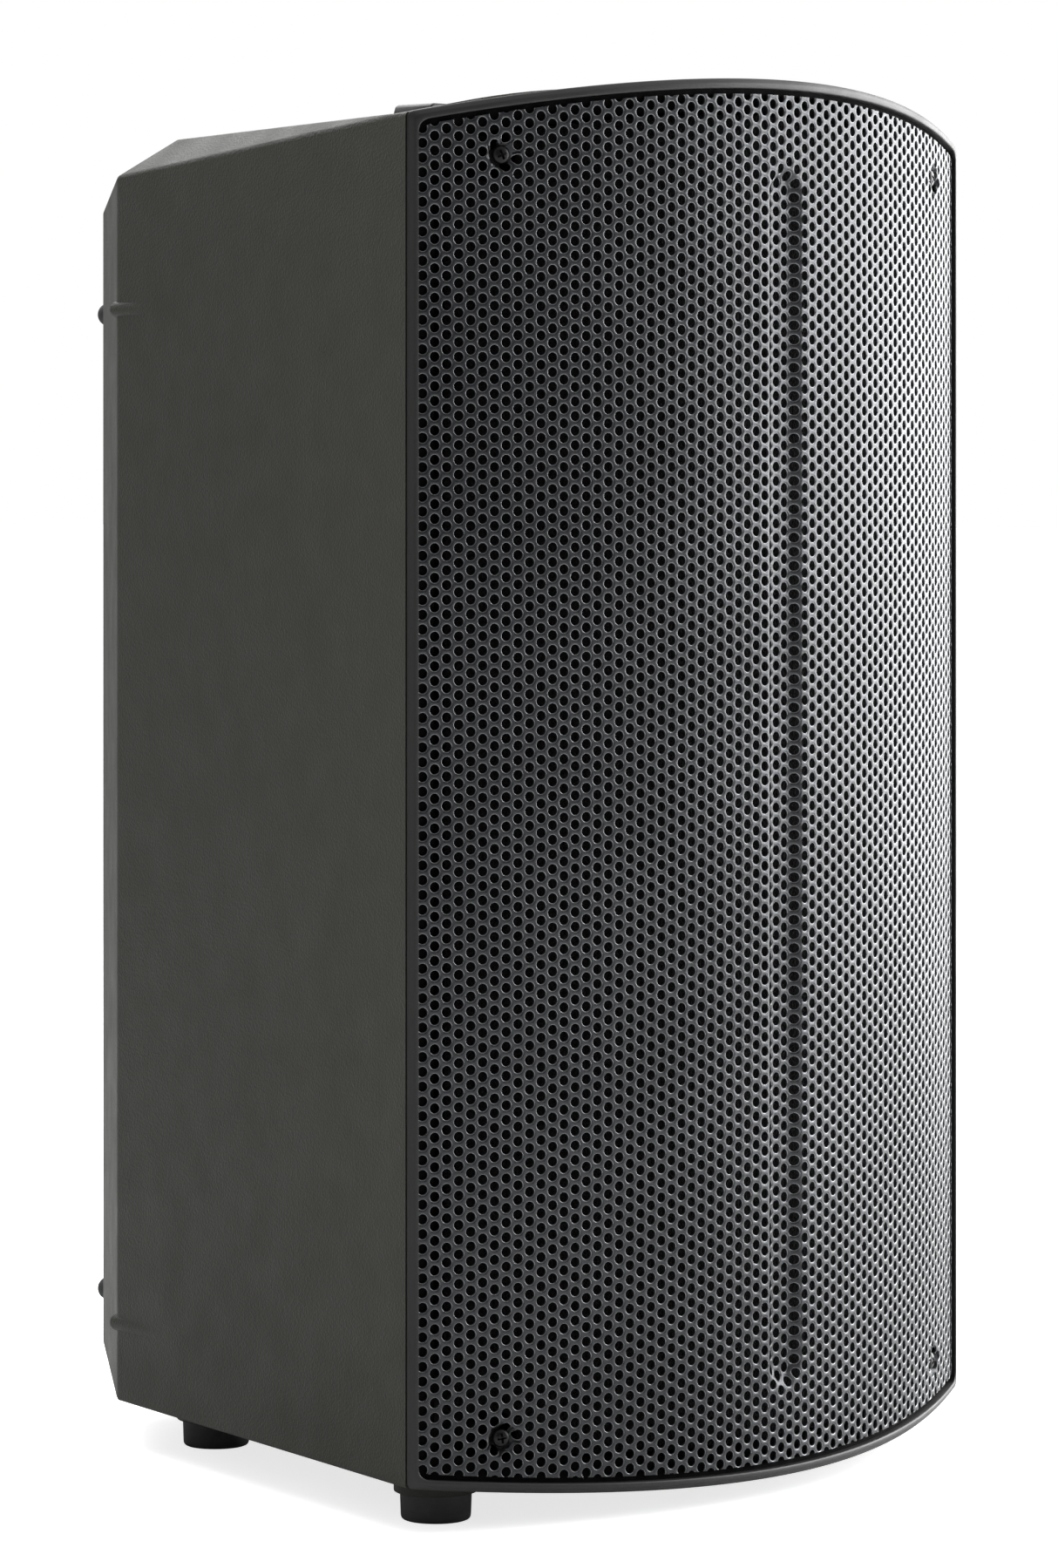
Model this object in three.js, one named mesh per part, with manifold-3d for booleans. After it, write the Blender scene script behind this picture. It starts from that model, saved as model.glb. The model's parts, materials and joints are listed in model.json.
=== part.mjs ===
// Powered bass cabinet that is the base of a column PA system.
// Millimetres, +Z up, front faces -Y. The inner group is drawn with Y = 0 just
// behind the seam between the moulded shell and the front bezel, and Z = 0 on the floor.
import * as THREE from "three";
import { ConvexGeometry } from "three/addons/geometries/ConvexGeometry.js";
import { mergeVertices } from "three/addons/utils/BufferGeometryUtils.js";
import Module from "manifold-3d";

const wasm = await Module();
wasm.setup();

// ---------------------------------------------------------------- dimensions
const HALF_W = 206.4; // half of the front width
const Z_TOP = 675.5; // flat top, and the bezel's top corners
const Z_BOT = 22.4; // flat bottom, and the bezel's bottom corners
const ARCH_TOP = 22; // rise of the bezel's top edge at the centre
const ARCH_BOT = 12.6; // drop of the bezel's bottom edge at the centre
const SEAM = -3.1; // plane where the bezel meets the shell
// The front curve in plan, y = y0 + a x^2 + b x^4: rounder at the centre than at the sides.
const CURVE = { y0: -63.4, a: 1.4776e-3, b: -1.484e-9 };
const RIM_UP = 2.3; // the bezel's rim stands this far proud of the grille
const GRILLE_T = 1.5;
const RIM_W = 4.3; // width of the bezel's front face
const LEDGE_W = 11; // ledge behind the grille's edge
const WALL = 7; // shell wall
const Y_SIDE = 280; // where the side wall meets the rear facet
const X_SIDE = 130;
const Y_REAR = 362; // rear face
const X_REAR = 64;
const BUMPER_H = 8; // rear bumpers stand this far off the rear face
const Y_MID = (Y_REAR + BUMPER_H + CURVE.y0 - RIM_UP) / 2; // plan centre of the whole object
const FOOT = { r: 17.5, h: 17.2, front: [163.5, 18.5], rear: [90.5, 247] };
const COLLAR = { r: 20.5, z0: 17.5 };
const GROOVE = { z0: 51.5, z1: 656, lip: 12.2, floor: 6.5, depth: 3.4 };
const SCREW = { x: 163, zTop: 656, zBot: 43.5, r: 4.35 };
const BAFFLE = { y0: 12, y1: 27, half: 189, z0: 30.2, z1: 667.8 };
const WOOFER_Z = { lower: 204, upper: 494 };
const PORT = { x: 108, z: 349, r: 32 };
const HANDLE = { half: 67, y0: 117, y1: 143, top: 691 };
const POCKET = { half: 52, y0: 114, y1: 172, depth: 38 };
const SOCKET = { y: 222, halfX: 32, halfY: 22, wall: 3, depth: 62, flangeX: 43, flangeY: 31 };
const PANEL = { half: 57.4, z0: 150.6, z1: 559.4, y0: 348.3, t: 3 };
const RECESS = { half: 58, z0: 150, z1: 560, y: 348, floor: 6 };
const SEG = 14; // facets round a woofer
const SEG_S = 10; // facets round a small turned piece

// ---------------------------------------------------------------- helpers
const rad = (d) => (d * Math.PI) / 180;

// A closed three.js geometry as a solid, with its faces turned outwards.
function solid(geometry) {
  let g = geometry.clone();
  for (const a of Object.keys(g.attributes)) if (a !== "position") g.deleteAttribute(a);
  g = mergeVertices(g, 1e-4);
  const idx = g.index.array;
  const keep = [];
  for (let i = 0; i < idx.length; i += 3) {
    const [a, b, c] = [idx[i], idx[i + 1], idx[i + 2]];
    if (a !== b && b !== c && a !== c) keep.push(a, b, c);
  }
  const build = (tri) =>
    new wasm.Manifold(
      new wasm.Mesh({
        numProp: 3,
        vertProperties: new Float32Array(g.attributes.position.array),
        triVerts: new Uint32Array(tri),
      }),
    );
  const s = build(keep);
  if (s.volume() >= 0) return s;
  for (let i = 0; i < keep.length; i += 3) [keep[i + 1], keep[i + 2]] = [keep[i + 2], keep[i + 1]];
  return build(keep);
}
const join = (first, ...rest) => rest.reduce((a, b) => a.add(b), first);
const cut = (first, ...rest) => rest.reduce((a, b) => a.subtract(b), first);

const box = (x0, x1, y0, y1, z0, z1) =>
  solid(new THREE.BoxGeometry(x1 - x0, y1 - y0, z1 - z0).translate((x0 + x1) / 2, (y0 + y1) / 2, (z0 + z1) / 2));
const hull = (points) => solid(new ConvexGeometry(points.map((p) => new THREE.Vector3(...p))));
const shapeOf = (pts) => new THREE.Shape(pts.map((p) => new THREE.Vector2(p[0], p[1])));
// A plan shape (x, y) drawn upwards from z0 to z1.
const up = (pts, z0, z1) =>
  solid(new THREE.ExtrudeGeometry(shapeOf(pts), { depth: z1 - z0, bevelEnabled: false }).translate(0, 0, z0));
// A front-view shape (x, z) drawn back from y0 to y1.
const back = (pts, y0, y1) =>
  solid(
    new THREE.ExtrudeGeometry(shapeOf(pts), { depth: y1 - y0, bevelEnabled: false })
      .rotateX(Math.PI / 2)
      .translate(0, y1, 0),
  );
// A profile [radius, y] turned about the Y axis through (x, z).
const turnY = (profile, x, z, seg = SEG) =>
  solid(
    new THREE.LatheGeometry(profile.map((p) => new THREE.Vector2(p[0], p[1])), seg).translate(x, 0, z),
  );
// A profile [radius, z] turned about the Z axis through (x, y).
const turnZ = (profile, x, y, seg = SEG) =>
  solid(
    new THREE.LatheGeometry(profile.map((p) => new THREE.Vector2(p[0], p[1])), seg)
      .rotateX(Math.PI / 2)
      .translate(x, y, 0),
  );
const rodY = (r, y0, y1, x, z, seg = 20) =>
  solid(new THREE.CylinderGeometry(r, r, y1 - y0, seg).translate(x, (y0 + y1) / 2, z));
const roundRect = (x0, x1, y0, y1, r, n = 3) => {
  const pts = [];
  for (const [cx, cy, a] of [[x1 - r, y1 - r, 0], [x0 + r, y1 - r, 90], [x0 + r, y0 + r, 180], [x1 - r, y0 + r, 270]])
    for (let i = 0; i <= n; i++) {
      const t = rad(a + (90 * i) / n);
      pts.push([cx + r * Math.cos(t), cy + r * Math.sin(t)]);
    }
  return pts;
};

// The arched front outline (x, z), inset by d, with corners of radius r.
const topZ = (x) => Z_TOP + ARCH_TOP * (1 - (x / HALF_W) ** 2);
const botZ = (x) => Z_BOT - ARCH_BOT * (1 - (x / HALF_W) ** 2);
function outline(d, r = 5.6, n = 8) {
  const w = HALF_W - d;
  const pts = [];
  const corner = (sx, zc, sz) => {
    // quarter turn at one corner, as a quadratic blend
    const p0 = sz > 0 ? [sx * w, zc - r] : [sx * (w - r), zc - 0.1 * r];
    const p2 = sz > 0 ? [sx * (w - r), zc + 0.1 * r] : [sx * w, zc + r];
    return { p0, p1: [sx * w, zc], p2 };
  };
  const blend = ({ p0, p1, p2 }, flip) => {
    const [a, b] = flip ? [p2, p0] : [p0, p2];
    for (let i = 0; i <= 2; i++) {
      const t = i / 2;
      pts.push([0, 1].map((k) => (1 - t) ** 2 * a[k] + 2 * t * (1 - t) * p1[k] + t * t * b[k]));
    }
  };
  blend(corner(1, topZ(w) - d, 1), false);
  for (let i = 1; i < n; i++) {
    const x = (w - r) * (1 - (2 * i) / n);
    pts.push([x, topZ(x) - d]);
  }
  blend(corner(-1, topZ(w) - d, 1), true);
  blend(corner(-1, botZ(w) + d, -1), true);
  for (let i = 1; i < n; i++) {
    const x = -(w - r) * (1 - (2 * i) / n);
    pts.push([x, botZ(x) + d]);
  }
  blend(corner(1, botZ(w) + d, -1), false);
  return pts;
}
// The front curve and its slope at plan x.
const curveY = (x) => CURVE.y0 + CURVE.a * x * x + CURVE.b * x ** 4;
const slope = (x) => 2 * CURVE.a * x + 4 * CURVE.b * x ** 3;
// The point where the front curve, moved out square to itself by h, has plan x.
function onCurve(x, h) {
  let t = x;
  for (let i = 0; i < 12; i++) t = x - (h * slope(t)) / Math.hypot(1, slope(t));
  return [x, curveY(t) - h / Math.hypot(1, slope(t))];
}
// Points on the front curve moved out by h, from x0 to x1 in plan.
const arc = (h, x0, x1, n = 16) => Array.from({ length: n + 1 }, (_, i) => onCurve(x0 + ((x1 - x0) * i) / n, h));
// A curved slab between two such curves.
const slab = (hIn, hOut, x, z0 = -20, z1 = 720, n = 14) =>
  up([...arc(hOut, -x, x, n), ...arc(hIn, x, -x, n)], z0, z1);

const root = new THREE.Group();
const cabinet = new THREE.Group();
cabinet.position.y = -Y_MID;
root.add(cabinet);

const MAT = {
  shell: { color: 0x3c3d38, roughness: 0.72, metalness: 0 },
  bezel: { color: 0x35363a, roughness: 0.55, metalness: 0 },
  grille: { color: 0x26282c, roughness: 0.42, metalness: 0.6 },
  screw: { color: 0x121212, roughness: 0.35, metalness: 0.8 },
  foam: { color: 0x0b0b0b, roughness: 0.95, metalness: 0 },
  rubber: { color: 0x161616, roughness: 0.85, metalness: 0 },
  wood: { color: 0x1b1917, roughness: 0.8, metalness: 0 },
  plastic: { color: 0x141414, roughness: 0.5, metalness: 0 },
  paper: { color: 0x1c1c1d, roughness: 0.9, metalness: 0 },
  casting: { color: 0x2a2a2c, roughness: 0.6, metalness: 0.7 },
  steel: { color: 0x8d8f92, roughness: 0.35, metalness: 1 },
  alloy: { color: 0x17181a, roughness: 0.5, metalness: 0.8 },
  panel: { color: 0x1a1b1d, roughness: 0.6, metalness: 0.4 },
  board: { color: 0x1d4a2c, roughness: 0.6, metalness: 0 },
  copper: { color: 0xa05a2c, roughness: 0.4, metalness: 0.9 },
  spider: { color: 0xa98a4c, roughness: 0.95, metalness: 0 },
  lens: { color: 0x2fd06a, roughness: 0.2, metalness: 0 },
  knob: { color: 0x202122, roughness: 0.55, metalness: 0 },
};
function add(name, s, mat, parent = cabinet) {
  const m = s.getMesh();
  const n = m.numProp;
  const pos = new Float32Array(m.numVert * 3);
  for (let i = 0; i < m.numVert; i++) for (let k = 0; k < 3; k++) pos[i * 3 + k] = m.vertProperties[i * n + k];
  const g = new THREE.BufferGeometry()
    .setAttribute("position", new THREE.BufferAttribute(pos, 3))
    .setIndex(new THREE.BufferAttribute(new Uint32Array(m.triVerts), 1));
  const mesh = new THREE.Mesh(g, new THREE.MeshStandardMaterial({ ...MAT[mat], flatShading: true }));
  mesh.name = name;
  parent.add(mesh);
  return mesh;
}

// ---------------------------------------------------------------- rear shell
// Outer form: tapering sides, 40 degree rear facets, a bevel along each top edge
// that widens from nothing at the front, and a raised front mouth for the arched bezel.
const mirror = (pts) => pts.flatMap(([x, y, z]) => [[x, y, z], [-x, y, z]]);
const Y0 = SEAM + 0.3; // front edge of the shell
const bodyOf = (t, yf) =>
  hull(
    mirror([
      [HALF_W - t, yf, Z_TOP - t],
      [HALF_W - t, yf, Z_BOT + t],
      [HALF_W - t, Math.max(yf, Y0), Z_TOP - t],
      [HALF_W - t, Math.max(yf, Y0), Z_BOT + t],
      [115 - t, 250 - t * 0.5, Z_TOP - t],
      [58 - t * 0.5, 300 - t, Z_TOP - t],
      [X_SIDE - t, Y_SIDE - t * 0.4, 656.6 - t],
      [X_REAR - t * 0.6, Y_REAR - t, 643 - t],
      [X_SIDE - t, Y_SIDE - t * 0.4, 23.8 + t],
      [X_REAR - t * 0.6, Y_REAR - t, 37.8 + t],
      [70 - t * 0.6, 336 - t, Z_BOT + t],
    ]),
  );
const mouthOf = (t, yf, yb, zin) =>
  hull([
    ...outline(t, 4, 8).map(([x, z]) => [x, yf, z]),
    ...mirror([
      [165 - zin, yb, Z_TOP - t],
      [165 - zin, yb, Z_BOT + t],
    ]),
  ]);
let shell = join(bodyOf(0, Y0), mouthOf(0, Y0, 110, 0));
// Moulded ribs that grow out of each side wall and end rounded on the rear facet.
const RIB = { r: 4.4, zs: [588, 63.7] };
for (const side of [-1, 1])
  for (const z of RIB.zs) {
    const a = new THREE.Vector3(side * 139.5, 214, z);
    const b = new THREE.Vector3(side * 126.6, 283, z);
    const dir = b.clone().sub(a);
    const mid = a.clone().add(b).multiplyScalar(0.5);
    const q = new THREE.Quaternion().setFromUnitVectors(new THREE.Vector3(0, 1, 0), dir.clone().normalize());
    shell = join(
      shell,
      solid(new THREE.CylinderGeometry(RIB.r, RIB.r, dir.length(), 8).applyQuaternion(q).translate(mid.x, mid.y, mid.z)),
      solid(new THREE.SphereGeometry(RIB.r, 8, 6).translate(b.x, b.y, b.z)),
    );
  }
// Collars that carry the feet.
const feetAt = [
  ["foot_front_left", -FOOT.front[0], FOOT.front[1]],
  ["foot_front_right", FOOT.front[0], FOOT.front[1]],
  ["foot_rear_left", -FOOT.rear[0], FOOT.rear[1]],
  ["foot_rear_right", FOOT.rear[0], FOOT.rear[1]],
];
for (const [, x, y] of feetAt)
  shell = join(shell, turnZ([[0, COLLAR.z0], [COLLAR.r - 0.8, COLLAR.z0], [COLLAR.r, COLLAR.z0 + 0.8], [COLLAR.r, Z_BOT + 3], [0, Z_BOT + 3]], x, y, 16));
shell = cut(shell, bodyOf(WALL, -40), mouthOf(WALL, Y0 - 0.5, 103, 7));
for (const [, x, y] of feetAt) shell = cut(shell, turnZ([[0, -5], [FOOT.r + 0.7, -5], [FOOT.r + 0.7, COLLAR.z0], [0, COLLAR.z0]], x, y, 16));
shell = cut(shell, box(-300, 300, -300, Y0, -50, 800));
// Tray for the amplifier panel, in the rear face.
shell = join(shell, box(-RECESS.half - 6, RECESS.half + 6, RECESS.y - RECESS.floor, Y_REAR - 2, RECESS.z0 - 6, RECESS.z1 + 6));
shell = cut(
  shell,
  box(-RECESS.half, RECESS.half, RECESS.y, Y_REAR + 5, RECESS.z0, RECESS.z1),
  box(-RECESS.half + 9, RECESS.half - 9, RECESS.y - 20, RECESS.y + 5, RECESS.z0 + 12, RECESS.z1 - 12),
);
// Hand pocket under the handle.
shell = join(
  shell,
  box(-POCKET.half - 4, POCKET.half + 4, POCKET.y0 - 4, POCKET.y1 + 4, Z_TOP - POCKET.depth - 4, Z_TOP - 2),
);
shell = cut(shell, hull([
  ...roundRect(-POCKET.half, POCKET.half, POCKET.y0, POCKET.y1, 10, 2).map(([x, y]) => [x, y, Z_TOP + 5]),
  ...roundRect(-POCKET.half + 6, POCKET.half - 6, POCKET.y0 + 6, POCKET.y1 - 6, 8, 2).map(([x, y]) => [x, y, Z_TOP - POCKET.depth]),
]));
// Opening for the column socket.
const S = SOCKET;
shell = cut(shell, box(-S.halfX - S.wall - 0.5, S.halfX + S.wall + 0.5, S.y - S.halfY - S.wall - 0.5, S.y + S.halfY + S.wall + 0.5, Z_TOP - 30, Z_TOP + 10));
// Blind holes for the rear bumpers' stems and the panel screws.
const bumperAt = [
  ["rear_bumper_upper_left", -57, 588],
  ["rear_bumper_upper_right", 57, 588],
  ["rear_bumper_lower_left", -57, 66],
  ["rear_bumper_lower_right", 57, 66],
];
for (const [, x, z] of bumperAt) shell = cut(shell, rodY(2.6, Y_REAR - 4, Y_REAR + 3, x, z, 12));
const panelScrewAt = [
  ["panel_screw_upper_left", -53, 554],
  ["panel_screw_upper_right", 53, 554],
  ["panel_screw_lower_left", -53, 156],
  ["panel_screw_lower_right", 53, 156],
];
for (const [, x, z] of panelScrewAt) shell = cut(shell, rodY(1.8, RECESS.y - 5, RECESS.y + 3, x, z, 10));
add("rear_shell", shell, "shell");

// ---------------------------------------------------------------- front bezel
// A rim as deep as the curve, with a curved ledge behind the grille's edge.
const rimPlan = [...arc(RIM_UP, -HALF_W, HALF_W, 14), [HALF_W, SEAM], [-HALF_W, SEAM]];
const RING_W = 11;
let bezel = up(rimPlan, -20, 720).intersect(back(outline(0, 4), -120, 1).subtract(back(outline(RING_W, 4), -140, 20)));
bezel = join(bezel, slab(-16, -1, 205.5, -20, 720, 14).intersect(back(outline(0.4, 4), -120, SEAM - 0.1).subtract(back(outline(RIM_W + LEDGE_W, 4), -140, 20))));
const TONGUE = 10; // inset of the part that slides into the shell's mouth
// Rails that back the top and bottom of the curved ledge and reach the shell.
const rails = back(outline(TONGUE, 4), -12, 5).subtract(back(outline(RIM_W + LEDGE_W, 4), -60, 20));
bezel = join(bezel, rails);
bezel = cut(bezel, back(outline(RIM_W + LEDGE_W, 4), -120, 30));
bezel = cut(bezel, slab(-GRILLE_T - 0.5, 40, 240, -20, 720).intersect(back(outline(RIM_W, 5.6), -150, 20)));
const screwAt = [
  ["grille_screw_upper_left", -SCREW.x, SCREW.zTop],
  ["grille_screw_upper_right", SCREW.x, SCREW.zTop],
  ["grille_screw_lower_left", -SCREW.x, SCREW.zBot],
  ["grille_screw_lower_right", SCREW.x, SCREW.zBot],
];
// A screw axis is square to the curved sheet.
const onArc = (s, x, z) =>
  s.rotate([0, 0, (Math.atan(slope(x)) * 180) / Math.PI]).translate([x, curveY(x), z]);
// Bosses that take the grille screws.
for (const [, x, z] of screwAt) {
  const boss = turnY([[0, 4], [8, 4], [8, 18], [0, 18]], 0, 0, SEG_S);
  bezel = join(bezel, onArc(boss, x, z), onArc(box(-7, 7, 6, 12, z > 300 ? 0 : -24, z > 300 ? 24 : 0), x, z));
}
bezel = bezel.intersect(join(back(outline(0, 4), -120, SEAM), back(outline(TONGUE, 4), SEAM - 1, 40)));
bezel = cut(bezel, slab(-GRILLE_T - 0.5, 40, 240, -20, 720).intersect(back(outline(RIM_W, 5.6), -150, 20)));
for (const [, x, z] of screwAt)
  bezel = cut(bezel, onArc(turnY([[0, -5], [SCREW.r + 1.6, -5], [SCREW.r + 1.6, 6.4], [2.3, 6.4], [2.3, 15], [0, 15]], 0, 0, SEG_S), x, z));
add("front_bezel", bezel, "bezel");

// ---------------------------------------------------------------- grille
const G = GROOVE;
const yg = CURVE.y0; // front of the sheet at the centre
let grille = slab(-GRILLE_T, 0, 205, -20, 720, 14);
const trough = (w0, w1, y0, y1, z0, z1, e) =>
  hull([
    ...[[-w0, z0], [w0, z0], [w0, z1], [-w0, z1]].map(([x, z]) => [x, y0, z]),
    ...[[-w1, z0 + e], [w1, z0 + e], [w1, z1 - e], [-w1, z1 - e]].map(([x, z]) => [x, y1, z]),
  ]);
grille = join(grille, trough(G.lip + 1.4, G.floor + 1.2, yg + 0.6, yg + G.depth + GRILLE_T, G.z0 - 1.4, G.z1 + 1.4, 7));
grille = cut(grille, trough(G.lip, G.floor, yg - 0.8, yg + G.depth, G.z0, G.z1, 8));
for (const [, x, z] of screwAt) {
  grille = join(grille, onArc(turnY([[0, 0.5], [9, 0.5], [7, 3.4], [0, 3.4]], 0, 0, SEG_S), x, z));
  grille = cut(grille, onArc(turnY([[0, -2], [9, -2], [9, -0.2], [6.4, 1.9], [2.6, 1.9], [2.6, 9], [0, 9]], 0, 0, SEG_S), x, z));
}
grille = grille.intersect(back(outline(RIM_W + 0.9, 5.2), -150, 20));
// Where the dish sinks, the ledge is cleared so that the sheet stays free of it.
add("grille", grille, "grille");
for (const [name, x, z] of screwAt) {
  const head = turnY([[0, -0.9], [2.6, -0.7], [SCREW.r, 0.3], [SCREW.r, 1.6], [2, 1.6], [2, 13], [0, 13.6]], 0, 0, SEG_S);
  const slotA = box(-2.4, 2.4, -2, 0.5, -0.55, 0.55);
  const slotB = box(-0.55, 0.55, -2, 0.5, -2.4, 2.4);
  add(name, onArc(cut(head, slotA, slotB), x, z), "screw");
}

// ---------------------------------------------------------------- foam behind the grille
let foam = slab(-13, -9.2, 190, -20, 720, 14).intersect(back(outline(RIM_W + LEDGE_W + 1.7, 4), -120, -4));
for (const [, x, z] of screwAt) foam = cut(foam, onArc(box(x > 0 ? -11 : -40, x > 0 ? 40 : 11, -10, 40, z > 300 ? -11 : -50, z > 300 ? 50 : 11), x, z));
add("grille_foam", foam, "foam");

// ---------------------------------------------------------------- baffle, ports, brace
let baffle = box(-BAFFLE.half, BAFFLE.half, BAFFLE.y0, BAFFLE.y1, BAFFLE.z0, BAFFLE.z1);
for (const z of Object.values(WOOFER_Z)) baffle = cut(baffle, rodY(118, 0, 40, 0, z, SEG));
for (const s of [-1, 1]) baffle = cut(baffle, rodY(PORT.r + 3.4, 0, 40, s * PORT.x, PORT.z, 16));
add("baffle", baffle, "wood");
for (const [name, s] of [["port_tube_left", -1], ["port_tube_right", 1]])
  add(
    name,
    turnY([[PORT.r + 2.5, 145], [PORT.r + 2.5, 11.7], [40, 11.7], [40, 9.4], [37, 8.4], [PORT.r + 1.2, 11], [PORT.r, 18], [PORT.r, 145], [PORT.r + 2.5, 145]], s * PORT.x, PORT.z, 16),
    "plastic",
  );
const brace = up([[-68, 27.4], [68, 27.4], [68, 152], [152.5, 152], [138, 208], [-138, 208], [-152.5, 152], [-68, 152]], 343, 355);
add("brace", cut(brace, up(roundRect(-44, 44, 52, 182, 14, 2), 330, 370)), "wood");

// ---------------------------------------------------------------- two woofers
for (const [which, z] of Object.entries(WOOFER_Z)) {
  const n = (p) => `woofer_${which}_${p}`;
  // Cast basket: flange on the baffle, six windows, back plate.
  let frame = turnY(
    [[130, 7.2], [130, 11.7], [116.6, 11.7], [116.6, 22], [84, 90], [84, 96], [44, 96], [44, 91.5], [79.6, 91.5], [111.6, 22], [108, 15.5], [108, 9.3], [118.4, 9.3], [118.4, 7.2], [130, 7.2]],
    0, z, SEG,
  );
  for (let i = 0; i < 6; i++) {
    const w = up([[-27, 34], [27, 34], [17, 84], [-17, 84]], 60, 140);
    frame = cut(frame, w.rotate([0, 30 + i * 60, 0]).translate([0, 0, z]));
  }
  add(n("frame"), frame, "casting");
  add(n("magnet"), turnY([[0, 97], [35.8, 97], [35.8, 130], [40.2, 130], [40.2, 96.4], [62, 96.4], [62, 140], [0, 140]], 0, z), "alloy");
  add(n("surround"), turnY([[117.6, 7.4], [117.6, 8.8], [108, 8.8], [104.4, 3], [97.6, 3], [94.6, 8.8], [93.7, 8.8], [93.7, 7.4], [97, 1.4], [105, 1.4], [108.6, 7.4], [117.6, 7.4]], 0, z), "rubber");
  add(n("cone"), turnY([[93.2, 7.6], [38.9, 60], [38.9, 63], [40.4, 63], [92, 10.6], [93.2, 10.2], [93.2, 7.6]], 0, z), "paper");
  add(n("dust_cap"), turnY([[0, 38.4], [18, 40.2], [34, 45.2], [45.6, 52.4], [44.4, 53.2], [33, 46.6], [17.6, 41.6], [0, 39.8]], 0, z), "paper");
  add(n("voice_coil"), turnY([[38.5, 57], [38.5, 113], [37.2, 113], [37.2, 57], [38.5, 57]], 0, z), "copper");
  add(n("spider"), turnY([[85, 78], [74, 80.4], [62, 76.4], [50, 80.4], [39.3, 78], [39.3, 76.6], [50, 79], [62, 75], [74, 79], [85, 76.6], [85, 78]], 0, z), "spider");
}

// ---------------------------------------------------------------- feet and bumpers
for (const [name, x, y] of feetAt)
  add(
    name,
    turnZ([[0, 9], [6, 9], [6, 0], [15.4, 0], [17, 1.6], [FOOT.r, FOOT.h], [0, FOOT.h]], x, y, 16),
    "rubber",
  );
for (const [name, x, z] of bumperAt)
  add(name, turnY([[0, Y_REAR - 3.6], [2.3, Y_REAR - 3.6], [2.3, Y_REAR + 0.3], [6, Y_REAR + 0.3], [6, Y_REAR + 4.6], [4, Y_REAR + BUMPER_H], [0, Y_REAR + BUMPER_H]], x, z, SEG_S), "rubber");

// ---------------------------------------------------------------- handle
const H = HANDLE;
const bar = back([[-H.half, Z_TOP + 0.3], [H.half, Z_TOP + 0.3], [H.half - 2.6, H.top - 3.4], [H.half - 6, H.top], [-H.half + 6, H.top], [-H.half + 2.6, H.top - 3.4]], H.y0, H.y1);
const gripCut = back([[-POCKET.half + 4, Z_TOP - 4], [POCKET.half - 4, Z_TOP - 4], [POCKET.half - 10, Z_TOP + 4.5], [-POCKET.half + 10, Z_TOP + 4.5]], H.y0 - 5, H.y1 + 5);
add("top_handle", cut(bar, gripCut), "bezel");

// ---------------------------------------------------------------- column socket
const cup = up(roundRect(-S.halfX - S.wall, S.halfX + S.wall, S.y - S.halfY - S.wall, S.y + S.halfY + S.wall, 4, 2), Z_TOP - S.depth - 3, Z_TOP + 1);
const flange = up(roundRect(-S.flangeX, S.flangeX, S.y - S.flangeY, S.y + S.flangeY, 6, 3), Z_TOP + 0.3, Z_TOP + 2.6);
const well = up(roundRect(-S.halfX, S.halfX, S.y - S.halfY, S.y + S.halfY, 3, 2), Z_TOP - S.depth, Z_TOP + 9);
const contactHole = box(-14.4, 14.4, S.y - 7.4, S.y + 7.4, Z_TOP - S.depth - 9, Z_TOP - S.depth + 3);
add("column_socket", cut(join(cup, flange), well, contactHole), "plastic");
let contact = box(-14, 14, S.y - 7, S.y + 7, Z_TOP - S.depth - 12, Z_TOP - S.depth + 1.4);
contact = join(contact, box(-17, 17, S.y - 10, S.y + 10, Z_TOP - S.depth - 12, Z_TOP - S.depth - 3.4));
for (const x of [-9, -3, 3, 9]) contact = join(contact, box(x - 1, x + 1, S.y - 3, S.y + 3, Z_TOP - S.depth, Z_TOP - S.depth + 9));
add("contact_block", contact, "copper");

// ---------------------------------------------------------------- amplifier
const yp = PANEL.y0, yo = PANEL.y0 + PANEL.t; // inner and outer faces of the panel
const LAY = {
  knobs: [["level_knob", -27], ["crossover_knob", 27]], knobZ: 405,
  combos: [["combo_input_left", "combo_latch_left", -27], ["combo_input_right", "combo_latch_right", 27]], comboZ: 360,
  outs: [["line_output_left", -27], ["line_output_right", 27]], outZ: 313,
  slides: [["polarity_switch", -27], ["filter_switch", 27]], slideZ: 279,
  rocker: [-30, 232], inlet: [20, 232],
};
let panel = box(-PANEL.half, PANEL.half, yp, yo, PANEL.z0, PANEL.z1);
for (const [, x] of LAY.knobs) panel = cut(panel, rodY(3.6, yp - 5, yo + 5, x, LAY.knobZ, 8));
for (const [, , x] of LAY.combos) panel = cut(panel, rodY(12.2, yp - 5, yo + 5, x, LAY.comboZ, 16));
for (const [, x] of LAY.outs) panel = cut(panel, rodY(12.2, yp - 5, yo + 5, x, LAY.outZ, 16));
for (const [, x] of LAY.slides) panel = cut(panel, box(x - 8, x + 8, yp - 5, yo + 5, LAY.slideZ - 3, LAY.slideZ + 3));
panel = cut(panel, box(LAY.rocker[0] - 8.2, LAY.rocker[0] + 8.2, yp - 5, yo + 5, LAY.rocker[1] - 13, LAY.rocker[1] + 13));
panel = cut(panel, box(LAY.inlet[0] - 24, LAY.inlet[0] + 24, yp - 5, yo + 5, LAY.inlet[1] - 14, LAY.inlet[1] + 14));
panel = cut(panel, rodY(2.4, yp - 5, yo + 5, 0, LAY.knobZ, 8));
for (const [, x, z] of panelScrewAt) panel = cut(panel, rodY(2.1, yp - 5, yo + 5, x, z, 8));
add("amp_panel", panel, "panel");
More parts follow.
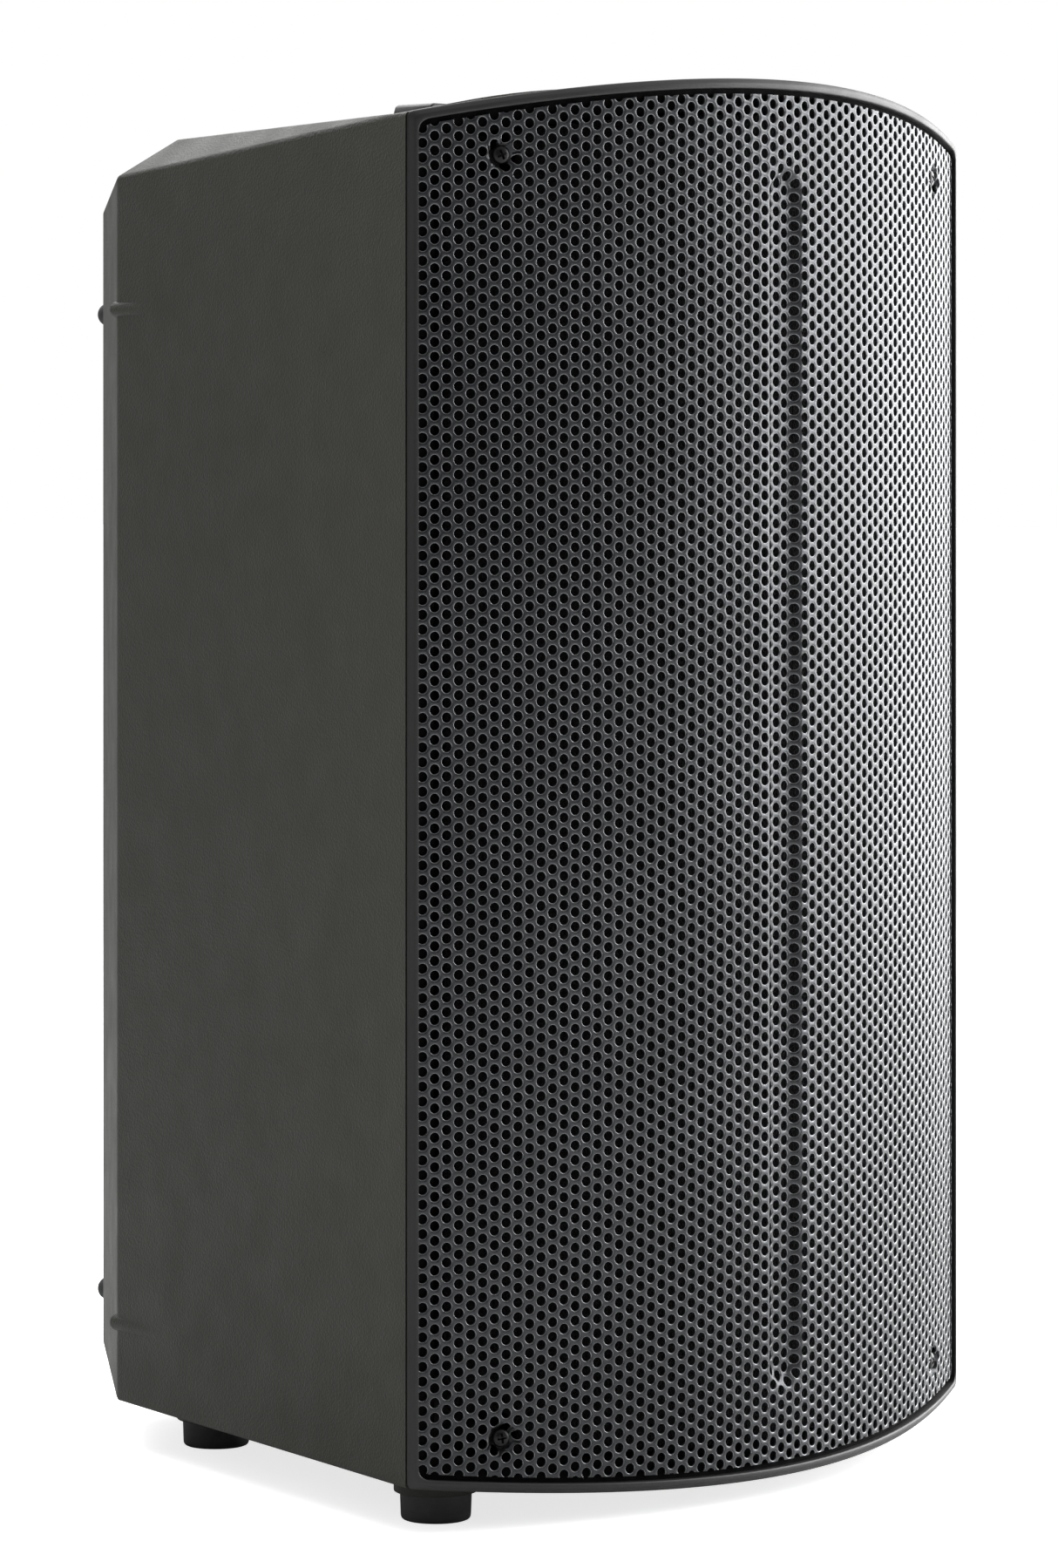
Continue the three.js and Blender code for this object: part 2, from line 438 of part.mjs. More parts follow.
for (const [name, x, z] of panelScrewAt) {
  const head = turnY([[0, yo + 2.7], [3.8, yo + 1.2], [3.8, yo + 0.3], [1.6, yo + 0.3], [1.6, RECESS.y - 4.4], [0, RECESS.y - 4.7]], x, z, 8);
  add(name, cut(head, box(x - 2, x + 2, yo + 1.4, yo + 4, z - 0.5, z + 0.5)), "screw");
}
let sink = box(-48, 48, yo + 0.3, yo + 4, 438, 545);
for (let i = 0; i < 12; i++) {
  const x = -46.5 + i * 8.4545;
  sink = join(sink, box(x - 1.2, x + 1.2, yo + 3, yo + 14.6, 438, 545));
}
add("heatsink", sink, "alloy");
add("amp_board", box(-58, 58, 304, 306, 190, 540), "board");
add("power_transformer", turnZ([[44, 30.2], [46, 33], [46, 66], [44, 69], [14, 69], [12, 66], [12, 33], [14, 30.2], [44, 30.2]], 0, 254, 24), "copper");
add("filter_capacitor", turnY([[0, 252], [15.5, 252], [17, 254], [17, 303.6], [0, 303.6]], -32, 300, 18), "plastic");
for (const [name, x] of LAY.knobs) {
  let k = turnY([[0, yo + 14.4], [9, yo + 14.4], [10, yo + 0.6], [3.1, yo + 0.6], [3.1, yp - 8], [0, yp - 8]], x, LAY.knobZ, 16);
  add(name, cut(k, box(x - 0.6, x + 0.6, yo + 13.4, yo + 20, LAY.knobZ + 2, LAY.knobZ + 11)), "knob");
}
const jack = (x, z, latch) => {
  let j = join(
    back(roundRect(x - 13, x + 13, z - 15.5, z + 15.5, 3, 1), yo + 0.3, yo + 2.3),
    rodY(11.8, yp - 20, yo + 1, x, z, 16),
  );
  j = cut(j, rodY(9.3, yo - 12, yo + 6, x, z, 16));
  if (latch) j = cut(j, box(x - 3.3, x + 3.3, yo - 2, yo + 6, z + 10.6, z + 14));
  else for (const a of [90, 210, 330]) j = join(j, rodY(1.2, yo - 13, yo - 3, x + 4.6 * Math.cos(rad(a)), z + 4.6 * Math.sin(rad(a)), 6));
  return j;
};
for (const [name, latch, x] of LAY.combos) {
  const z = LAY.comboZ;
  let j = jack(x, z, true);
  j = cut(j, rodY(3.2, yo - 16, yo + 6, x, z, 12));
  // A slot cut through the panel's edge of the round hole takes the latch's travel.
  add(name, j, "plastic");
  add(latch, box(x - 2.9, x + 2.9, yo + 1.2, yo + 4.2, z + 11, z + 13.6), "knob");
}
for (const [name, x] of LAY.outs) add(name, jack(x, LAY.outZ, false), "plastic");
for (const [name, x] of LAY.slides)
  add(name, join(box(x - 7, x - 1, yo - 1.6, yo + 3, LAY.slideZ - 2.6, LAY.slideZ + 2.6), box(x - 7.6, x - 0.4, yp - 4, yp - 0.6, LAY.slideZ - 4, LAY.slideZ + 4), box(x - 6, x - 2, yp - 1, yo - 1, LAY.slideZ - 2, LAY.slideZ + 2)), "knob");
// Rocker: at rest it is pressed at its lower end.
const [rx, rz] = LAY.rocker;
const rocker = hull([
  ...[-7.6, 7.6].flatMap((x) => [[x, 3.4, -11.6], [x, 3.4, 11.6], [x, -4, -8], [x, -4, 8]]),
]);
const dip = hull([-9, 9].flatMap((x) => [[x, 3.5, -11.8], [x, 3.5, 11.8], [x, 1.9, 0], [x, 7, -11.8], [x, 7, 11.8]]));
add("power_rocker", cut(rocker, dip).rotate([9, 0, 0]).translate([rx, yo, rz]), "knob");
// Mains inlet: flange, recessed well and three flat pins.
const [ix, iz] = LAY.inlet;
let inlet = join(
  back(roundRect(ix - 26, ix + 26, iz - 16, iz + 16, 3, 2), yo + 0.3, yo + 2.3),
  box(ix - 23.4, ix + 23.4, yp - 18, yo + 1, iz - 13.4, iz + 13.4),
);
inlet = cut(inlet, back([[ix - 13, iz - 10], [ix + 13, iz - 10], [ix + 13, iz + 5], [ix + 8, iz + 10], [ix - 8, iz + 10], [ix - 13, iz + 5]], yo - 15, yo + 6));
for (const [dx, dz] of [[-7, -3], [7, -3], [0, 4]]) inlet = join(inlet, box(ix + dx - 1, ix + dx + 1, yo - 16, yo - 1, iz + dz - 2.4, iz + dz + 2.4));
add("mains_inlet", inlet, "plastic");
add("status_lens", turnY([[0, yo + 1.6], [1.6, yo + 1.2], [3.2, yo + 0.3], [2.1, yo + 0.2], [2.1, yp - 3], [0, yp - 3]].map(([r, y], i) => (i === 2 ? [2.1, yo + 0.5] : [r, y])), 0, LAY.knobZ, 12), "lens");

// Cable from the board to the upper woofer.
const wire = new THREE.CatmullRomCurve3(
  [[46, 299, 400], [60, 284, 396], [104, 236, 388], [116, 176, 396], [110, 130, 420], [96, 112, 436]].map((p) => new THREE.Vector3(...p)),
);
const section = new THREE.Shape(Array.from({ length: 6 }, (_, i) => new THREE.Vector2(2.6 * Math.cos(rad(60 * i)), 2.6 * Math.sin(rad(60 * i)))));
add("speaker_cable", solid(new THREE.ExtrudeGeometry(section, { steps: 14, extrudePath: wire, bevelEnabled: false })), "rubber");

export default root;
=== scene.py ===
import bpy, bmesh, math, json
import numpy as np
from mathutils import Vector, Matrix


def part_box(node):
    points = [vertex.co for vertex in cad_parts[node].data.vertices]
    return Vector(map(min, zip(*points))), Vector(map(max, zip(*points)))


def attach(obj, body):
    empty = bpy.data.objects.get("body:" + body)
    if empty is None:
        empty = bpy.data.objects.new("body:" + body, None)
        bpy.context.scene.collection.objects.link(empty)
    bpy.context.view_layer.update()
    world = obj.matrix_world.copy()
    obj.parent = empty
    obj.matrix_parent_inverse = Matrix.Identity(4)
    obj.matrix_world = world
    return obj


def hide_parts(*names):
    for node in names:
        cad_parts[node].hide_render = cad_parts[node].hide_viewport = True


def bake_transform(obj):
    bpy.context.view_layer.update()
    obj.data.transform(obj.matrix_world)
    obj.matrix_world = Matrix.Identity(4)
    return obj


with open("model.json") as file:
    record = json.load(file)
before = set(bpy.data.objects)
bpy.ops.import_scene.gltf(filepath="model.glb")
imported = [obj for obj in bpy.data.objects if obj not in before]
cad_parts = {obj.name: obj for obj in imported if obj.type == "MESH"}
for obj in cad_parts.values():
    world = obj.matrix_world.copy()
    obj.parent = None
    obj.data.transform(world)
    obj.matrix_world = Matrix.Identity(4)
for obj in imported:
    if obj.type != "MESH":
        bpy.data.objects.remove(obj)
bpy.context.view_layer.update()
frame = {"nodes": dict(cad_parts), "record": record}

MM = 0.001

# ------------------------------------------------------------------ shared dimensions (mm, from the frame)
BODY_LO, BODY_HI = [v * 1000 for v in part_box("rear_shell")]
SEAM = -3.1                        # plane where the bezel meets the shell
Y0 = SEAM + 0.3                    # front edge of the shell
YOFF = BODY_LO.y - Y0              # world Y of Y = 0 in the numbers below
BZ_LO, BZ_HI = [v * 1000 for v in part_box("front_bezel")]
HALF = BZ_HI.x
Z_TOP, Z_BOT = 675.5, 22.4
ARCH_TOP, ARCH_BOT = BZ_HI.z - Z_TOP, Z_BOT - BZ_LO.z
RIM_W = 4.2
ARCH_SEAM = 18.0                   # height of the top arch at the seam, below its height at the front
CURVE = (-63.4, 1.4776e-3, -1.484e-9)   # the front in plan: y = c0 + c1 x^2 + c2 x^4


def curve_y(x): return CURVE[0] + CURVE[1] * x * x + CURVE[2] * x ** 4
def slope(x): return 2 * CURVE[1] * x + 4 * CURVE[2] * x ** 3


_X = np.linspace(-230, 230, 4601)
_S = np.concatenate([[0], np.cumsum(np.hypot(np.diff(_X), np.diff(curve_y(_X))))])
_S -= np.interp(0, _X, _S)


def arc_y(x, h):
    """Plan Y at x of the front curve moved out square to itself by h."""
    t = x
    for _ in range(12):
        t = x - h * slope(t) / math.hypot(1, slope(t))
    return curve_y(t) - h / math.hypot(1, slope(t))


def u_of(x): return float(np.interp(x, _X, _S))


def on_front(u, h):
    """Plan points at arc length u along the front, moved out by h."""
    x = np.interp(u, _S, _X)
    g = slope(x)
    L = np.hypot(1, g)
    return x + h * g / L, curve_y(x) - h / L


def top_z(x): return Z_TOP + ARCH_TOP * (1 - (x / HALF) ** 2)
def bot_z(x): return Z_BOT - ARCH_BOT * (1 - (x / HALF) ** 2)


# ------------------------------------------------------------------ materials
def new_mat(name):
    m = bpy.data.materials.new(name)
    m.use_nodes = True
    nt = m.node_tree
    for n in list(nt.nodes):
        nt.nodes.remove(n)
    out = nt.nodes.new("ShaderNodeOutputMaterial")
    p = nt.nodes.new("ShaderNodeBsdfPrincipled")
    nt.links.new(p.outputs[0], out.inputs[0])
    return m, nt, p


def N(nt, kind, **kw):
    n = nt.nodes.new(kind)
    for k, v in kw.items():
        setattr(n, k, v)
    return n


def tex_noise(nt, coord, scale, detail=4, rough=0.55, dist=0.0):
    n = N(nt, "ShaderNodeTexNoise")
    n.inputs["Scale"].default_value = scale
    n.inputs["Detail"].default_value = detail
    n.inputs["Roughness"].default_value = rough
    n.inputs["Distortion"].default_value = dist
    nt.links.new(coord, n.inputs["Vector"])
    return n.outputs["Fac"]


def tex_voronoi(nt, coord, scale, feature="F1"):
    n = N(nt, "ShaderNodeTexVoronoi", feature=feature)
    n.inputs["Scale"].default_value = scale
    nt.links.new(coord, n.inputs["Vector"])
    return n.outputs["Distance"]


def ramp(nt, fac, lo, hi, a, b):
    """a at lo, b at hi, for a number."""
    n = N(nt, "ShaderNodeMapRange")
    n.inputs["From Min"].default_value = lo
    n.inputs["From Max"].default_value = hi
    n.inputs["To Min"].default_value = a
    n.inputs["To Max"].default_value = b
    nt.links.new(fac, n.inputs["Value"])
    return n.outputs["Result"]


def mix_col(nt, fac, a, b, kind="MIX"):
    n = N(nt, "ShaderNodeMix", data_type="RGBA", blend_type=kind)
    for sock, v in ((n.inputs[6], a), (n.inputs[7], b)):
        if isinstance(v, (tuple, list)):
            sock.default_value = (*v[:3], 1)
        else:
            nt.links.new(v, sock)
    if isinstance(fac, (int, float)):
        n.inputs[0].default_value = fac
    else:
        nt.links.new(fac, n.inputs[0])
    return n.outputs[2]


def bump(nt, p, height, strength, distance, prev=None):
    n = N(nt, "ShaderNodeBump")
    n.inputs["Strength"].default_value = strength
    n.inputs["Distance"].default_value = distance
    nt.links.new(height, n.inputs["Height"])
    if prev is not None:
        nt.links.new(prev, n.inputs["Normal"])
    nt.links.new(n.outputs[0], p.inputs["Normal"])
    return n.outputs[0]


def math_node(nt, op, a, b=None):
    n = N(nt, "ShaderNodeMath", operation=op)
    for i, v in enumerate((a, b)):
        if v is None:
            continue
        if isinstance(v, (int, float)):
            n.inputs[i].default_value = v
        else:
            nt.links.new(v, n.inputs[i])
    return n.outputs[0]


def coord(nt):
    return N(nt, "ShaderNodeTexCoord").outputs["Object"]


def plastic(name, base, light=None, grain=1100, depth=0.00012, rough=(0.52, 0.68), spec=0.45, var=0.08, edge_highlight=0.0, edge_highlight_col=None, strength=0.55):
    """Moulded plastic: fine spark-eroded grain, slow colour drift, and a painted highlight that lightens convex edges.
    """
    m, nt, p = new_mat(name)
    c = coord(nt)
    slow = tex_noise(nt, c, 5.0, 3)
    fine = tex_noise(nt, c, grain, 3, 0.6)
    speck = tex_voronoi(nt, c, grain * 0.8)
    lo = tuple(v * (1 - var) for v in base)
    hi = light or tuple(v * (1 + var) for v in base)
    col = mix_col(nt, ramp(nt, slow, 0.35, 0.65, 0, 1), lo, hi)
    col = mix_col(nt, ramp(nt, fine, 0.45, 0.75, 0.0, 0.35), col, tuple(min(1, v * 1.5) for v in base))
    # painted highlight: convex edges (found by pointiness) are mixed towards a lighter colour
    if edge_highlight:
        g = N(nt, "ShaderNodeNewGeometry")
        edge = ramp(nt, g.outputs["Pointiness"], 0.52, 0.6, 0, edge_highlight)
        col = mix_col(nt, edge, col, edge_highlight_col or tuple(min(1, v * 2.4) for v in base))
    nt.links.new(col, p.inputs["Base Color"])
    nt.links.new(ramp(nt, tex_noise(nt, c, 40, 4), 0.3, 0.7, rough[0], rough[1]), p.inputs["Roughness"])
    p.inputs["Specular IOR Level"].default_value = spec
    h = math_node(nt, "ADD", math_node(nt, "MULTIPLY", fine, 0.7), math_node(nt, "MULTIPLY", speck, 0.6))
    bump(nt, p, h, strength, depth)
    return m


def coated_metal(name, base, rough=(0.36, 0.5), grain=1600, depth=0.00006, metallic=0.35, spec=0.6, strength=0.4):
    """Powder coat on steel: orange-peel texture under a semi-gloss skin."""
    m, nt, p = new_mat(name)
    c = coord(nt)
    peel = tex_noise(nt, c, grain, 2, 0.5)
    slow = tex_noise(nt, c, 9.0, 3)
    col = mix_col(nt, ramp(nt, slow, 0.35, 0.65, 0, 1), tuple(v * 0.9 for v in base), tuple(v * 1.12 for v in base))
    nt.links.new(col, p.inputs["Base Color"])
    nt.links.new(ramp(nt, tex_noise(nt, c, 160, 3), 0.3, 0.7, rough[0], rough[1]), p.inputs["Roughness"])
    p.inputs["Metallic"].default_value = metallic
    p.inputs["Specular IOR Level"].default_value = spec
    bump(nt, p, peel, strength, depth)
    return m


def rubber(name, base=(0.02, 0.02, 0.021)):
    m, nt, p = new_mat(name)
    c = coord(nt)
    dust = tex_noise(nt, c, 60, 5, 0.65)
    col = mix_col(nt, ramp(nt, dust, 0.45, 0.75, 0, 0.6), base, tuple(v * 2.2 for v in base))
    nt.links.new(col, p.inputs["Base Color"])
    nt.links.new(ramp(nt, dust, 0.3, 0.7, 0.62, 0.85), p.inputs["Roughness"])
    p.inputs["Specular IOR Level"].default_value = 0.35
    bump(nt, p, tex_noise(nt, c, 900, 3), 0.5, 0.0001)
    return m


def brushed(name, base, rough=0.35, metallic=1.0, stretch=(1, 1, 40), scale=60):
    m, nt, p = new_mat(name)
    mp = N(nt, "ShaderNodeMapping")
    mp.inputs["Scale"].default_value = stretch
    nt.links.new(coord(nt), mp.inputs["Vector"])
    n = tex_noise(nt, mp.outputs[0], scale, 5, 0.6)
    col = mix_col(nt, ramp(nt, n, 0.3, 0.7, 0, 1), tuple(v * 0.82 for v in base), base)
    nt.links.new(col, p.inputs["Base Color"])
    nt.links.new(ramp(nt, n, 0.3, 0.7, rough * 0.75, rough * 1.3), p.inputs["Roughness"])
    p.inputs["Metallic"].default_value = metallic
    bump(nt, p, n, 0.25, 0.00005)
    return m


def foam_mat():
    m, nt, p = new_mat("acoustic_foam")
    c = coord(nt)
    cells = tex_voronoi(nt, c, 700)
    col = mix_col(nt, ramp(nt, cells, 0.0, 0.7, 0, 1), (0.002, 0.002, 0.002), (0.012, 0.012, 0.013))
    nt.links.new(col, p.inputs["Base Color"])
    nt.links.new(ramp(nt, cells, 0, 0.6, 1.0, 0.85), p.inputs["Roughness"])
    p.inputs["Specular IOR Level"].default_value = 0.1
    p.inputs["Sheen Weight"].default_value = 0.05
    bump(nt, p, cells, 1.0, 0.0008)
    return m


def wood_mat():
    m, nt, p = new_mat("painted_board")
    c = coord(nt)
    mp = N(nt, "ShaderNodeMapping")
    mp.inputs["Scale"].default_value = (1, 12, 3)
    nt.links.new(c, mp.inputs["Vector"])
    g = tex_noise(nt, mp.outputs[0], 22, 6, 0.65, 0.4)
    col = mix_col(nt, ramp(nt, g, 0.35, 0.7, 0, 1), (0.010, 0.0095, 0.009), (0.03, 0.027, 0.024))
    nt.links.new(col, p.inputs["Base Color"])
    nt.links.new(ramp(nt, g, 0.3, 0.7, 0.6, 0.85), p.inputs["Roughness"])
    bump(nt, p, g, 0.5, 0.0003)
    return m


def pulp_mat():
    m, nt, p = new_mat("pulp_cone")
    c = coord(nt)
    fib = tex_noise(nt, c, 420, 6, 0.7, 1.2)
    col = mix_col(nt, ramp(nt, fib, 0.4, 0.7, 0, 1), (0.012, 0.012, 0.012), (0.034, 0.033, 0.032))
    nt.links.new(col, p.inputs["Base Color"])
    nt.links.new(ramp(nt, fib, 0.3, 0.7, 0.7, 0.9), p.inputs["Roughness"])
    bump(nt, p, fib, 0.7, 0.0003)
    return m


def cloth_mat():
    m, nt, p = new_mat("spider_cloth")
    c = coord(nt)
    w = N(nt, "ShaderNodeTexWave", wave_type="BANDS", bands_direction="X")
    w.inputs["Scale"].default_value = 700
    nt.links.new(c, w.inputs["Vector"])
    w2 = N(nt, "ShaderNodeTexWave", wave_type="BANDS", bands_direction="Z")
    w2.inputs["Scale"].default_value = 700
    nt.links.new(c, w2.inputs["Vector"])
    weave = math_node(nt, "MULTIPLY", w.outputs["Fac"], w2.outputs["Fac"])
    col = mix_col(nt, weave, (0.26, 0.16, 0.06), (0.5, 0.35, 0.16))
    nt.links.new(col, p.inputs["Base Color"])
    nt.links.new(ramp(nt, weave, 0, 1, 0.9, 0.7), p.inputs["Roughness"])
    bump(nt, p, weave, 0.8, 0.0003)
    return m


def copper_mat():
    m, nt, p = new_mat("copper_winding")
    c = coord(nt)
    w = N(nt, "ShaderNodeTexWave", wave_type="BANDS", bands_direction="Z")
    w.inputs["Scale"].default_value = 520
    w.inputs["Distortion"].default_value = 0.6
    nt.links.new(c, w.inputs["Vector"])
    col = mix_col(nt, w.outputs["Fac"], (0.25, 0.09, 0.03), (0.62, 0.27, 0.1))
    nt.links.new(col, p.inputs["Base Color"])
    nt.links.new(ramp(nt, w.outputs["Fac"], 0, 1, 0.45, 0.25), p.inputs["Roughness"])
    p.inputs["Metallic"].default_value = 0.9
    bump(nt, p, w.outputs["Fac"], 0.8, 0.0004)
    return m


def board_mat():
    m, nt, p = new_mat("circuit_board")
    c = coord(nt)
    br = N(nt, "ShaderNodeTexVoronoi", feature="DISTANCE_TO_EDGE")
    br.inputs["Scale"].default_value = 110
    nt.links.new(c, br.inputs["Vector"])
    t = ramp(nt, br.outputs["Distance"], 0.02, 0.06, 1, 0)
    col = mix_col(nt, t, (0.008, 0.07, 0.03), (0.03, 0.16, 0.07))
    nt.links.new(col, p.inputs["Base Color"])
    nt.links.new(ramp(nt, t, 0, 1, 0.35, 0.25), p.inputs["Roughness"])
    bump(nt, p, t, 0.4, 0.0001)
    return m


def lens_mat():
    m, nt, p = new_mat("status_lens")
    c = coord(nt)
    n = tex_noise(nt, c, 900, 2)
    col = mix_col(nt, n, (0.02, 0.35, 0.08), (0.08, 0.65, 0.2))
    nt.links.new(col, p.inputs["Base Color"])
    nt.links.new(ramp(nt, n, 0.3, 0.7, 0.12, 0.22), p.inputs["Roughness"])
    p.inputs["Coat Weight"].default_value = 0.4
    return m


M = {
    "shell_plastic": plastic("shell_plastic", (0.0270, 0.0274, 0.0208), grain=900, depth=0.00034, rough=(0.5, 0.6), spec=0.27, edge_highlight=0.2, strength=1.0, var=0.01),
    "bezel_plastic": plastic("bezel_plastic", (0.024, 0.0242, 0.0236), grain=1300, depth=0.00014, rough=(0.4, 0.52), edge_highlight=0.25, strength=0.5, var=0.03),
    "grille_coat": coated_metal("grille_coat", (0.062, 0.064, 0.068), rough=(0.32, 0.42), metallic=0.8, spec=0.5),
    "black_screw": coated_metal("black_screw", (0.012, 0.012, 0.013), rough=(0.28, 0.4), grain=2600, depth=0.00003, metallic=0.6),
    "acoustic_foam": foam_mat(),
    "foot_rubber": rubber("foot_rubber", (0.042, 0.042, 0.043)),
    "surround_rubber": rubber("surround_rubber", (0.014, 0.014, 0.014)),
    "painted_board": wood_mat(),
    "black_plastic": plastic("black_plastic", (0.015, 0.015, 0.016), grain=1500, depth=0.00006, rough=(0.4, 0.55)),
    "pulp_cone": pulp_mat(),
    "cast_basket": coated_metal("cast_basket", (0.03, 0.03, 0.032), rough=(0.5, 0.65), grain=700, depth=0.00015),
    "magnet_steel": brushed("magnet_steel", (0.36, 0.36, 0.37), 0.4),
    "black_alloy": brushed("black_alloy", (0.022, 0.022, 0.025), 0.45, 0.7, (1, 1, 0.05), 900),
    "panel_coat": coated_metal("panel_coat", (0.017, 0.0175, 0.019), rough=(0.5, 0.62), grain=1200, depth=0.0001, metallic=0.2),
    "circuit_board": board_mat(),
    "copper_winding": copper_mat(),
    "spider_cloth": cloth_mat(),
    "status_lens": lens_mat(),
    # painted shade: near-black finish for the bezel's recess behind the grille
    "recess_painted_shade": plastic("recess_painted_shade", (0.004, 0.004, 0.004), grain=900, depth=0.0003, rough=(0.85, 0.98), spec=0.1),
    # painted shade: near-black finish for the dished cups round the grille screws
    "cup_painted_shade": coated_metal("cup_painted_shade", (0.006, 0.006, 0.007), rough=(0.5, 0.7), metallic=0.2, spec=0.25),
    # painted highlight: lighter, glossier finish for the rounded rims of the holes
    "hole_rim_painted_highlight": coated_metal("hole_rim_painted_highlight", (0.26, 0.265, 0.275), rough=(0.24, 0.34), metallic=0.85, spec=0.6),
    "control_plastic": plastic("control_plastic", (0.03, 0.03, 0.032), grain=1500, depth=0.00006, rough=(0.42, 0.55)),
    "dial_print": plastic("dial_print", (0.55, 0.55, 0.53), grain=1500, depth=0.00001, rough=(0.5, 0.6), var=0.04),
    "pin_metal": brushed("pin_metal", (0.72, 0.66, 0.5), 0.25),
}
SLOT = {s["node"]: s["material_slot"] for s in frame["record"]["subparts"]}
BODY_OF = {n: b for b, ns in frame["record"]["behaviour"]["bodies"].items() for n in ns}

# ------------------------------------------------------------------ mesh helpers
def link(o):
    bpy.context.scene.collection.objects.link(o)
    return o


def mesh_obj(name, verts, faces, mat, smooth=True, angle=35):
    """verts are in mm, with Y = 0 on the seam."""
    v = np.asarray(verts, float).reshape(-1, 3).copy()
    v[:, 1] += YOFF
    me = bpy.data.meshes.new(name)
    me.from_pydata((v * MM).tolist(), [], [list(map(int, f)) for f in faces])
    me.validate()
    me.update()
    if smooth:
        me.shade_smooth()
        me.set_sharp_from_angle(angle=math.radians(angle))
    o = link(bpy.data.objects.new(name, me))
    o.data.materials.append(M[mat])
    return o


def place(o, node, extra=()):
    """o rides where the CAD node rides, and stands for it."""
    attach(o, BODY_OF[node])
    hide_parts(node, *extra)
    return o


def also(o, node):
    """o rides with a node and adds detail to it."""
    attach(o, BODY_OF[node])
    return o


def tidy(o, dist=1e-5):
    bm = bmesh.new()
    bm.from_mesh(o.data)
    bmesh.ops.remove_doubles(bm, verts=bm.verts, dist=dist)
    bmesh.ops.recalc_face_normals(bm, faces=bm.faces)
    bm.to_mesh(o.data)
    bm.free()
    return o


def shade(o, angle=35):
    o.data.shade_smooth()
    o.data.set_sharp_from_angle(angle=math.radians(angle))
    return o


def flats(o):
    """Keeps broad flat faces flat where a small rounding meets them."""
    m = o.modifiers.new("flats", "WEIGHTED_NORMAL")
    m.mode = "FACE_AREA"
    m.weight = 100
    m.keep_sharp = True
    return apply_mods(o)


def apply_mods(o):
    dg = bpy.context.evaluated_depsgraph_get()
    me = bpy.data.meshes.new_from_object(o.evaluated_get(dg), depsgraph=dg)
    old = o.data
    o.modifiers.clear()
    o.data = me
    bpy.data.meshes.remove(old)
    return o


def bevelled(o, width, segments=3, angle=30, clamp=True):
    m = o.modifiers.new("bevel", "BEVEL")
    m.width = width * MM
    m.segments = segments
    m.limit_method = "ANGLE"
    m.angle_limit = math.radians(angle)
    m.use_clamp_overlap = clamp
    m.harden_normals = False
    return apply_mods(o)


def joined(objs, name):
    """One object from several that share a material."""
    bm = bmesh.new()
    for o in objs:
        bm.from_mesh(o.data)
    me = bpy.data.meshes.new(name)
    bm.to_mesh(me)
    bm.free()
    me.materials.append(objs[0].data.materials[0])
    for o in objs:
        old = o.data
        bpy.data.objects.remove(o)
        bpy.data.meshes.remove(old)
    out = link(bpy.data.objects.new(name, me))
    return shade(out, 35)


def boolean(o, others, op="DIFFERENCE"):
    for b in others:
        m = o.modifiers.new("bool", "BOOLEAN")
        m.operation = op
        m.object = b
        m.solver = "EXACT"
        apply_mods(o)
        me = b.data
        bpy.data.objects.remove(b)
        bpy.data.meshes.remove(me)
    return o


def lathe(name, profile, axis, centre, mat, seg=96, angle=35):
    """profile of (radius, along) turned about 'Y' or 'Z' through centre (x, z) or (x, y). A radius of 0 closes on the axis."""
    verts, faces, rows = [], [], []
    for r, a in profile:
        if r <= 1e-9:
            rows.append([len(verts)])
            verts.append((0.0, 0.0, a))
        else:
            row = []
            for i in range(seg):
                t = 2 * math.pi * i / seg
                row.append(len(verts))
                verts.append((r * math.cos(t), r * math.sin(t), a))
            rows.append(row)
    for r0, r1 in zip(rows[:-1], rows[1:]):
        if len(r0) == 1 and len(r1) == 1:
            continue
        for i in range(seg):
            j = (i + 1) % seg
            if len(r0) == 1:
                faces.append((r0[0], r1[i], r1[j]))
            elif len(r1) == 1:
                faces.append((r0[i], r1[0], r0[j]))
            else:
                faces.append((r0[i], r1[i], r1[j], r0[j]))
    out = []
    for x, y, a in verts:
        if axis == "Y":
            out.append((centre[0] + x, a, centre[1] + y))
        else:
            out.append((centre[0] + x, centre[1] + y, a))
    o = mesh_obj(name, out, faces, mat, smooth=False)
    tidy(o, 1e-6)
    return shade(o, angle)


def rounded(profile, r, n=4, closed=False):
    """A (radius, along) profile with its corners rounded by r (one number, or one per point; 0 leaves a corner sharp)."""
    pts = [Vector(p) for p in profile]
    rs = [r] * len(pts) if isinstance(r, (int, float)) else list(r)
    out = []
    for i, p in enumerate(pts):
        if (not closed and i in (0, len(pts) - 1)) or rs[i] <= 0:
            out.append(tuple(p))
            continue
        a, b = pts[i - 1], pts[(i + 1) % len(pts)]
        da, db = (a - p), (b - p)
        k = min(rs[i], da.length * 0.45, db.length * 0.45)
        s, e = p + da.normalized() * k, p + db.normalized() * k
        for j in range(n + 1):
            t = j / n
            out.append(tuple((1 - t) ** 2 * s + 2 * t * (1 - t) * p + t * t * e))
    if closed:
        out.append(out[0])
    return out


def box_obj(name, x0, x1, y0, y1, z0, z1, mat, bevel=0.0, seg=3):
    v = [(x, y, z) for x in (x0, x1) for y in (y0, y1) for z in (z0, z1)]
    f = [(0, 1, 3, 2), (4, 6, 7, 5), (0, 4, 5, 1), (2, 3, 7, 6), (0, 2, 6, 4), (1, 5, 7, 3)]
    o = mesh_obj(name, v, f, mat, smooth=False)
    tidy(o, 1e-7)
    if bevel:
        bevelled(o, bevel, seg)
    return shade(o, 40)


